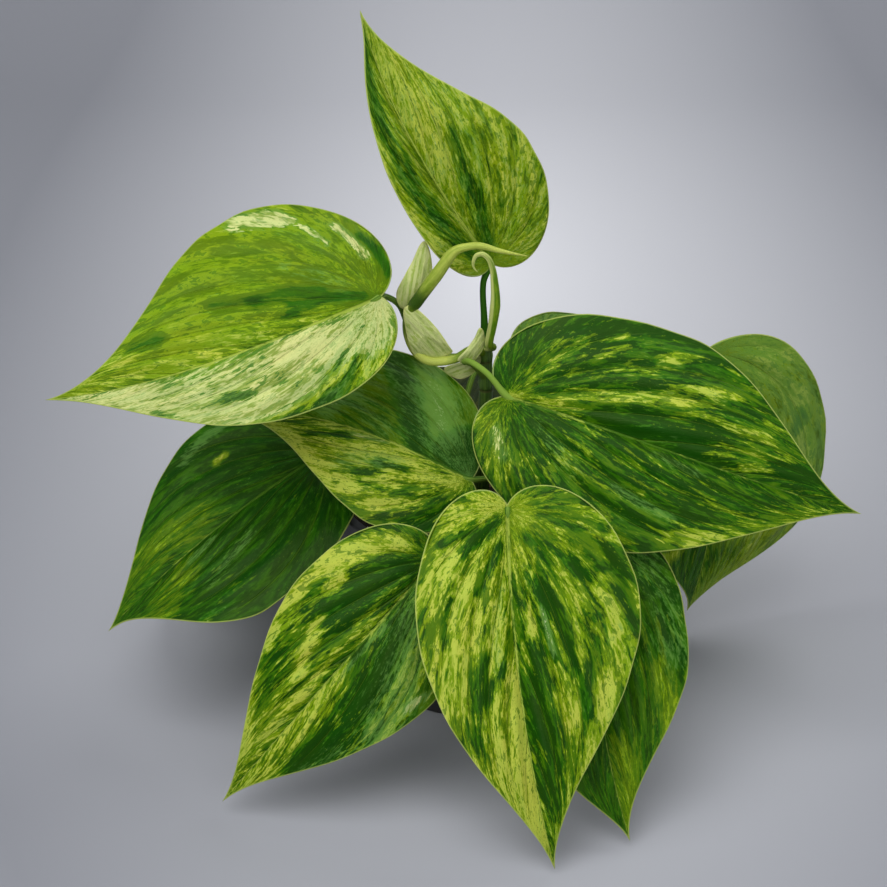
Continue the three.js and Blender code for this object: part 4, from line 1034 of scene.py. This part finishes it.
# Greens, from dark up to lime and its palest
level = lime_bias + (broad * 0.8 + middle * 1.6 + fine * 0.65) * lively
second = lime_bias * 0.7 + (other * 2 + fine * 0.5) * lively
colour = leaf_look.paint(srgb(17, 62, 0), srgb(40, 90, 0), (second + 0.2).rise(0.0, 0.16))
colour = leaf_look.paint(colour, srgb(72, 108, 4), (second + 0.03).rise(0.0, 0.14) * 0.7)
colour = leaf_look.paint(colour, srgb(90, 118, 4), (level + 0.1).rise(0.0, 0.07) * 0.62)
lime = level.rise(0.03, 0.06)
colour = leaf_look.paint(colour, srgb(112, 140, 10), lime)
pale_lime = (level + (other * 0.9 + fine * 0.5) * lively).rise(0.12, 0.28)
colour = leaf_look.paint(colour, srgb(168, 178, 66), pale_lime * 0.9)

# Cream, with a grey green round it
cream_level = cream_bias + broad * 0.6 + middle * 1.1 + fine * 1.0
cream = cream_level.rise(0.0, 0.05)
colour = leaf_look.paint(colour, srgb(82, 126, 52), (cream_bias + fine).rise(-0.42, 0.1) * 0.75)
cream_shade = (cream_level * 0.6 + other * 2 + fine * 1.2).rise(-0.1, 0.35)
cream_tone = leaf_look.paint(srgb(126, 148, 62), srgb(186, 192, 122), cream_shade)
colour = leaf_look.paint(colour, cream_tone, cream)

# Green flecks on the pale parts, light flecks on the green ones, and a drift of the whole tone
pale = lime.call("MAXIMUM", cream)
flecks = (blots + middle * 0.4).rise(0.58, 0.62) * 0.7 + speck.rise(0.6, 0.66) * 0.45
fleck_tone = leaf_look.paint(srgb(58, 100, 6), srgb(98, 136, 66), cream)
colour = leaf_look.paint(colour, fleck_tone, flecks.call("MINIMUM", 0.8) * pale * (1 - cream * 0.35))
light_flecks = (speck + level * 0.35).rise(0.58, 0.64) * (1 - pale) * lively * 0.5
colour = leaf_look.paint(colour, srgb(112, 144, 22), light_flecks)
brightness = other * 0.5 + middle * 0.3 + (speck - 0.5) * 0.2 + fine * 0.2 + 1
colour = leaf_look.tint(colour, broad * 0.05 + 0.5, brightness)

# A milky veil of painted sheen with painted glints in it, then side veins, the midrib and the pale margin
painted_sheen = (painted_sheen_bias + broad * 0.5 + other * 0.8 + fine * 1.3 + (speck - 0.5) * 0.3).rise(0.0, 0.5)
colour = leaf_look.paint(colour, srgb(94, 138, 62), painted_sheen * 0.55)
# Painted glints: small pale highlight specks where the painted sheen is strongest.
painted_glint = (speck + fine * 0.5).rise(0.58, 0.62) * painted_sheen_bias.rise(0.5, 0.75)
colour = leaf_look.paint(colour, srgb(176, 192, 140), painted_glint * 0.75)
turns = q / VEIN_STEP
to_vein = ((turns + 0.5).call("FRACT") - 0.5).call("ABSOLUTE") * VEIN_STEP * scale * size
vein = to_vein.rise(0.08, 0.45, 1, 0) * (scale * size).rise(5, 12) * margin.rise(1, 8)
colour = leaf_look.paint(colour, srgb(100, 134, 34), vein * 0.2)
rib_half = (1 - u) * 0.5 + 0.12
rib = (reach * size / rib_half).rise(0.6, 1.3, 1, 0)
rib_tone = leaf_look.paint(srgb(62, 102, 18), srgb(150, 168, 66), (level + 0.12).rise(-0.1, 0.2))
colour = leaf_look.paint(colour, rib_tone, rib * 0.7)
edge = margin.rise(0.15, 0.5, 1, 0)
colour = leaf_look.paint(colour, srgb(166, 180, 92), edge * 0.75)

# The duller underside, and the stalk, which is painted lighter as a highlight on some leaves and darker as
# shade on others
underneath = layer.rise(0.4, 0.6)
colour = leaf_look.paint(colour, srgb(132, 154, 92), underneath * 0.6)
on_stalk = layer.rise(1.4, 1.6)
stalk_shade = (leaf_look.noise(v * 3, margin * 3, u * 40, 3, 0.6) + lime_bias).rise(0.35, 0.65)
stalk_tone_and_painted_light = leaf_look.paint(srgb(34, 78, 8), srgb(112, 142, 52), stalk_shade)
colour = leaf_look.paint(colour, stalk_tone_and_painted_light, on_stalk)
leaf_look.feed("Base Color", colour)
leaf_look.feed("Roughness", hair * 0.14 + underneath * 0.2 + 0.34)
relief = hair * 0.25 + fine * 0.3 - vein * 0.6 - rib * 0.5
leaf_look.bump(relief * (1 - on_stalk), 0.00035)

for number, (name, leaf) in enumerate(LEAVES.items(), start=1):
    build_leaf(name, leaf, number)

# Young shoot: a pale runner with its two sheath leaves and bract, grown as one piece.
# Waxy yellow-green tissue, paler and papery on the sheaths. The runner has a painted highlight along one
# side and a painted shadow where it comes out from behind the sheath leaves.
young_look = Look("young growth", [("Coat Weight", 0.03), ("Specular IOR Level", 0.25)])
length, around, about = young_look.attribute("way")
kind, share, pale_rim_and_painted_highlight = young_look.attribute("part")
streak = young_look.noise(around * 2, about * 2, length * 0.1, 3, 0.6) - 0.5
cloud = young_look.noise(around * 1.2 + kind * 9, about * 1.2, length * 0.35, 4, 0.6, 0.5) - 0.5
grain = young_look.noise(around * 7, about * 7, length * 1.6, 2, 0.6) - 0.5
pale_foot = share.rise(0.1, 0.2) * share.rise(0.3, 0.4, 1, 0)
# On the runner the pale rim number is a painted highlight along one side; on the roll and the sheaths it is
# their own pale edge.
runner_tone = (share * 1.2 - 0.35 + pale_foot * 0.9 + streak * 0.8 + pale_rim_and_painted_highlight * 0.7 + cloud * 0.4).rise(0.0, 0.9)
runner = young_look.paint(srgb(104, 134, 8), srgb(180, 192, 84), runner_tone)
# A painted shadow: a dark band across the runner where it comes out from behind the sheath leaves.
painted_shadow_band = (share + cloud * 0.03).rise(0.46, 0.5) * (share + cloud * 0.04).rise(0.53, 0.6, 1, 0)
runner = young_look.paint(runner, srgb(34, 70, 4), painted_shadow_band * 0.9)
roll = young_look.paint(srgb(82, 124, 8), srgb(126, 154, 28), (streak * 1.5 + cloud + 0.5).rise(0.2, 0.8))
roll_tone = pale_rim_and_painted_highlight.rise(0.3, 0.8).call("MAXIMUM", (share + streak * 0.3).rise(0.68, 0.9))
roll = young_look.paint(roll, srgb(194, 203, 116), roll_tone * 0.9)
sheath_tone = (streak * 1.4 + cloud * 0.8 + grain * 0.3 + 0.62).rise(0.15, 0.8)
sheath = young_look.paint(srgb(130, 160, 52), srgb(194, 202, 132), sheath_tone)
sheath = young_look.paint(sheath, srgb(140, 166, 40), (cloud * 1.6 - streak).rise(0.06, 0.2) * 0.6)
sheath = young_look.paint(sheath, srgb(206, 208, 128), pale_rim_and_painted_highlight * 0.75)
colour = young_look.paint(runner, roll, kind.rise(0.4, 0.6))
colour = young_look.paint(colour, sheath, kind.rise(1.4, 1.6))
young_look.feed("Base Color", colour)
young_look.feed("Roughness", grain * 0.2 + 0.42)
young_look.bump(streak + grain, 0.0002)


def shoot_radii(count, profile):
    """Radii along a shoot, from a profile of (share of its length, radius in mm)."""
    shares, radii = np.array(profile).T
    return np.interp(np.linspace(0, 1, count), shares, radii)


RUNNER = [
    (0, -1.5, 119.4), (-4.3, -3.5, 117.8), (-10, -4.6, 117.2), (-14, -4.6, 117.8), (-17.4, -3.4, 120.4),
    (-19.5, -2, 125.4), (-19.2, -3, 132.9), (-16.3, -5, 138.8), (-10.2, -7, 148.9), (-5, -8, 156.8),
    (-1.4, -8.5, 158.4), (2.5, -8.5, 158.7), (8.6, -8, 156.8), (16.8, -7, 154.6),
]
# Shares of the length and the radius there
RUNNER_RADII = [(0, 1.5), (0.3, 1.45), (0.45, 1.6), (0.5, 1.95), (0.63, 2.05), (0.72, 1.8), (0.76, 1.4),
                (0.8, 1.15), (0.84, 1.1), (0.9, 0.8), (0.95, 0.5), (1, 0.15)]
# Outlines of the two sheath leaves, the bract and the low sheath at the foot
SHEATHS = [
    [(-20.6, -5, 136), (-20.2, -5.4, 128.7), (-18.6, -5.8, 122), (-16.8, -4.6, 118.8), (-13.4, -3.8, 117.6),
     (-9.6, -3.6, 117.6), (-7, -3.8, 119), (-5.6, -4.6, 120.6), (-6.6, -5.4, 122.8), (-10.5, -6.1, 129.5),
     (-15.7, -5.6, 135.2), (-18.5, -5, 137)],
    [(-18.2, -1.6, 133.3), (-21.9, -1.4, 134.5), (-23.1, -1, 138.8), (-20.6, -0.4, 144.6),
     (-18.1, 0.2, 149.4), (-15.6, 0.9, 154.9), (-14.4, 0.9, 156), (-13.4, 0.9, 154.7), (-12.3, 0.3, 151),
     (-12, -0.5, 143.6), (-13.6, -1.1, 138.2)],
    [(-4.2, -5.4, 118), (-1.3, -5, 121.9), (1, -4.6, 125.4), (2.7, -4.2, 128.8), (3.7, -4, 128),
     (4.3, -4, 123.7), (3.2, -3.8, 119.8), (-0.3, -4.6, 116.6)],
    [(3.2, 2, 115.5), (1.5, 1, 115.4), (-3.4, 0, 114.4), (-8.4, -1, 112.8), (-6.4, -1, 110.2),
     (-2.8, -1, 108.9), (1.2, 0, 110.9), (3.2, 2, 113.5)],
]
SHOOT_STEPS, RUNNER_SIDES = 220, 24
SHEATH_SIDES, SHEATH_RINGS = 72, 16
SHEATH_FACING = unit(np.array([0, -0.87, 0.5]))
SHEATH_THICKNESS = 0.36
SHEATH_BULGE, SHEATH_CREASE = 1.1, 0.5
SHEATH_RIB, SHEATH_RIB_SPACING = 0.08, 1.4
LOOP_HALF = 300


def sheath_sheet(outline, number):
    """A thin creased sheet within a closed outline. Gives vertices, faces and, for each vertex of one
    side, its place along and across the sheet in mm and its share of the way out to the rim."""
    looped = smooth_path([*outline[-3:], *outline, *outline[:3]], 2 * LOOP_HALF)
    halves = looped[:LOOP_HALF], looped[LOOP_HALF:]
    first, last = (np.linalg.norm(half - outline[0], axis=1).argmin() for half in halves)
    rim = looped[np.linspace(first, last + LOOP_HALF, SHEATH_SIDES, endpoint=False).astype(int)]
    centre = rim.mean(axis=0)
    far = rim[np.linalg.norm(rim - rim[0], axis=1).argmax()]
    along = unit(far - rim[0])
    across = np.cross(SHEATH_FACING, along)
    shares = np.arange(1, SHEATH_RINGS + 1) / SHEATH_RINGS
    grid = np.concatenate([[centre], *[centre + (rim - centre) * share for share in shares]])
    outwards = np.concatenate([[0], np.repeat(shares, SHEATH_SIDES)])
    runs, sides = (grid - centre) @ along, (grid - centre) @ across
    creases = [noise.noise(Vector((a / 9, b / 2.5, 5 + number))) for a, b in zip(runs, sides)]
    crown = SHEATH_BULGE * (1 - outwards**2) + SHEATH_CREASE * np.array(creases)
    crown += SHEATH_RIB * np.cos(TURN * sides / SHEATH_RIB_SPACING)
    middle = grid + SHEATH_FACING * crown[:, None]
    lift = SHEATH_FACING * (SHEATH_THICKNESS / 2 * np.sqrt(1.05 - outwards**2))[:, None]
    count = len(grid)
    faces = [(0, 1 + k, 1 + (k + 1) % SHEATH_SIDES) for k in range(SHEATH_SIDES)]
    for ring_start in range(1, count - SHEATH_SIDES, SHEATH_SIDES):
        for k in range(SHEATH_SIDES):
            a, b = ring_start + k, ring_start + (k + 1) % SHEATH_SIDES
            faces.append((a, a + SHEATH_SIDES, b + SHEATH_SIDES, b))
    faces += [tuple(count + corner for corner in reversed(face)) for face in faces]
    for k in range(SHEATH_SIDES):
        a, b = count - SHEATH_SIDES + k, count - SHEATH_SIDES + (k + 1) % SHEATH_SIDES
        faces.append((a, count + a, count + b, b))
    if np.cross(rim[0] - centre, rim[5] - centre) @ SHEATH_FACING <= 0:
        faces = [tuple(reversed(face)) for face in faces]
    return [*(middle + lift), *(middle - lift)], faces, list(zip(runs, sides, outwards))


path = smooth_path([on_stem("stem_main", 0.94), *RUNNER], SHOOT_STEPS)
vertices, faces, ways = tube(path, shoot_radii(len(path), RUNNER_RADII), RUNNER_SIDES)
# The last number is a painted highlight along one side of the runner, and the pale rim of each sheath.
parts = [(0, length / ways[-1][0], max(0, cosine) ** 4) for length, cosine, _ in ways]
for number, outline in enumerate(SHEATHS):
    sheet, sheet_sides, places = sheath_sheet(outline, number)
    faces += [tuple(len(vertices) + corner for corner in face) for face in sheet_sides]
    vertices += sheet
    ways += [(run, side * 0.6, 7.0 * number) for run, side, _ in places] * 2
    parts += [(2, 0.5, max(0, 8 * outward - 7)) for _, _, outward in places] * 2
shoot = new_object("young_shoot_runner", vertices, faces, young_look.material)
set_points(shoot, "way", ways)
set_points(shoot, "part", parts)
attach(shoot, "root")
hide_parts("young_shoot")

# Curled leaf: a young leaf still rolled up along its length, with its end hooked over.
# It is a roll of the same tissue, greener, with the free edge as a pale line down one side.
CURL = [
    (6.9, -1.8, 120.6), (5.7, -6, 124.2), (6.6, -9, 131.8), (7.4, -11, 140.7), (7.1, -12, 147.3),
    (6.3, -12.5, 153.3), (5, -13, 156.8), (3.2, -13, 158.2), (1.4, -13, 157.8), (0.5, -13, 156),
    (0.5, -13, 153.9), (1.7, -13, 152.2),
]
CURL_RADII = [(0, 1.2), (0.19, 1.3), (0.34, 1.35), (0.5, 1.6), (0.63, 1.25), (0.74, 0.95), (0.85, 0.72),
              (0.93, 0.5), (1, 0.12)]
CURL_SIDES = 40
# Angles of the roll's free edge and of the pale line behind it
LIP_ANGLE = 1.5
PALE_ANGLE = 1.15


def rolled(angle):
    """A section like a rolled sheet: its radius grows once round, and drops at the sheet's free edge."""
    return 0.84 + 0.28 * ((angle - LIP_ANGLE) % TURN) / TURN


path = smooth_path([on_stem("stem_main", 0.96), *CURL], SHOOT_STEPS)
vertices, faces, ways = tube(path, shoot_radii(len(path), CURL_RADII), CURL_SIDES, rolled)
curled = new_object("curled_leaf_roll", vertices, faces, young_look.material)
set_points(curled, "way", ways)
parts = []
for length, cosine, sine in ways:
    paleness = max(0, cosine * math.cos(PALE_ANGLE) + sine * math.sin(PALE_ANGLE)) ** 3
    parts.append((1, length / ways[-1][0], paleness))
set_points(curled, "part", parts)
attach(curled, "root")
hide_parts("curled_leaf")

# Stage: a sweep of pale grey paper, flat under the plant and bent up behind it.
# Light comes from a large soft box above, a weaker one in front and a third behind.
stage_look = Look("grey paper", [("Roughness", 0.9)])
x, y, z = stage_look.place()
# A painted pool of light: the paper is painted lightest round a place just behind the plant and darker away
# from it.
painted_light_falloff = (((x - 0.012) / 0.22) ** 2 + ((y - 0.3) / 0.55) ** 2 + (z / 0.8) ** 2) ** 0.42
stage_look.feed("Base Color", stage_look.paint(srgb(219, 220, 225), srgb(131, 133, 140), painted_light_falloff))

# How far the paper reaches to the front and sides, and where and how it bends up
PAPER_REACH = 2600
BEND_START, BEND_RADIUS = 500, 300
sweep = [(y, 0) for y in np.linspace(-PAPER_REACH, BEND_START, 8, endpoint=False)]
for angle in np.linspace(0, math.pi / 2, 21):
    sweep.append((BEND_START + BEND_RADIUS * math.sin(angle), BEND_RADIUS * (1 - math.cos(angle))))
sweep += [(BEND_START + BEND_RADIUS, BEND_RADIUS + 80 * step) for step in range(1, 13)]
vertices = [(side * PAPER_REACH, y, z) for y, z in sweep for side in (-1, 1)]
faces = [(2 * k, 2 * k + 1, 2 * k + 3, 2 * k + 2) for k in range(len(sweep) - 1)]
floor = new_object("paper_sweep", vertices, faces, stage_look.material)

# Name, place, width and power of each round light
LIGHT_AIM = Vector((0, 0, 0.1))
LIGHTS = [
    ("soft_box", Vector((-0.35, -0.5, 1.1)), 1.2, 13.2),
    ("front_fill", Vector((0.45, -1.1, 0.55)), 0.9, 5),
    ("back_light", Vector((0.5, 0.55, 1.05)), 0.8, 6),
]
for name, place, width, power in LIGHTS:
    light = bpy.data.lights.new(name, "AREA")
    light.shape, light.size, light.energy = "DISK", width, power
    made = bpy.data.objects.new(name, light)
    made.visible_camera = False
    made.location = place
    made.rotation_euler = (LIGHT_AIM - place).to_track_quat("-Z", "Y").to_euler()
    bpy.context.scene.collection.objects.link(made)
world = bpy.data.worlds.new("studio")
world.use_nodes = True
world.node_tree.nodes["Background"].inputs["Color"].default_value = (0.95, 0.97, 1, 1)
world.node_tree.nodes["Background"].inputs["Strength"].default_value = 0.3
bpy.context.scene.world = world
bpy.context.scene.view_settings.view_transform = "Standard"

# Camera: a long lens in front of the plant, looking down on it at thirty degrees.
# Its place and lens give the plant the size and position that it has in the photograph.
camera_data = bpy.data.cameras.new("camera")
camera_data.lens, camera_data.sensor_width = 99, 36
camera = bpy.data.objects.new("camera", camera_data)
camera.location = (-0.0085, -0.6755, 0.475)
camera.rotation_euler = (math.radians(60), 0, 0)
bpy.context.scene.collection.objects.link(camera)
bpy.context.scene.camera = camera
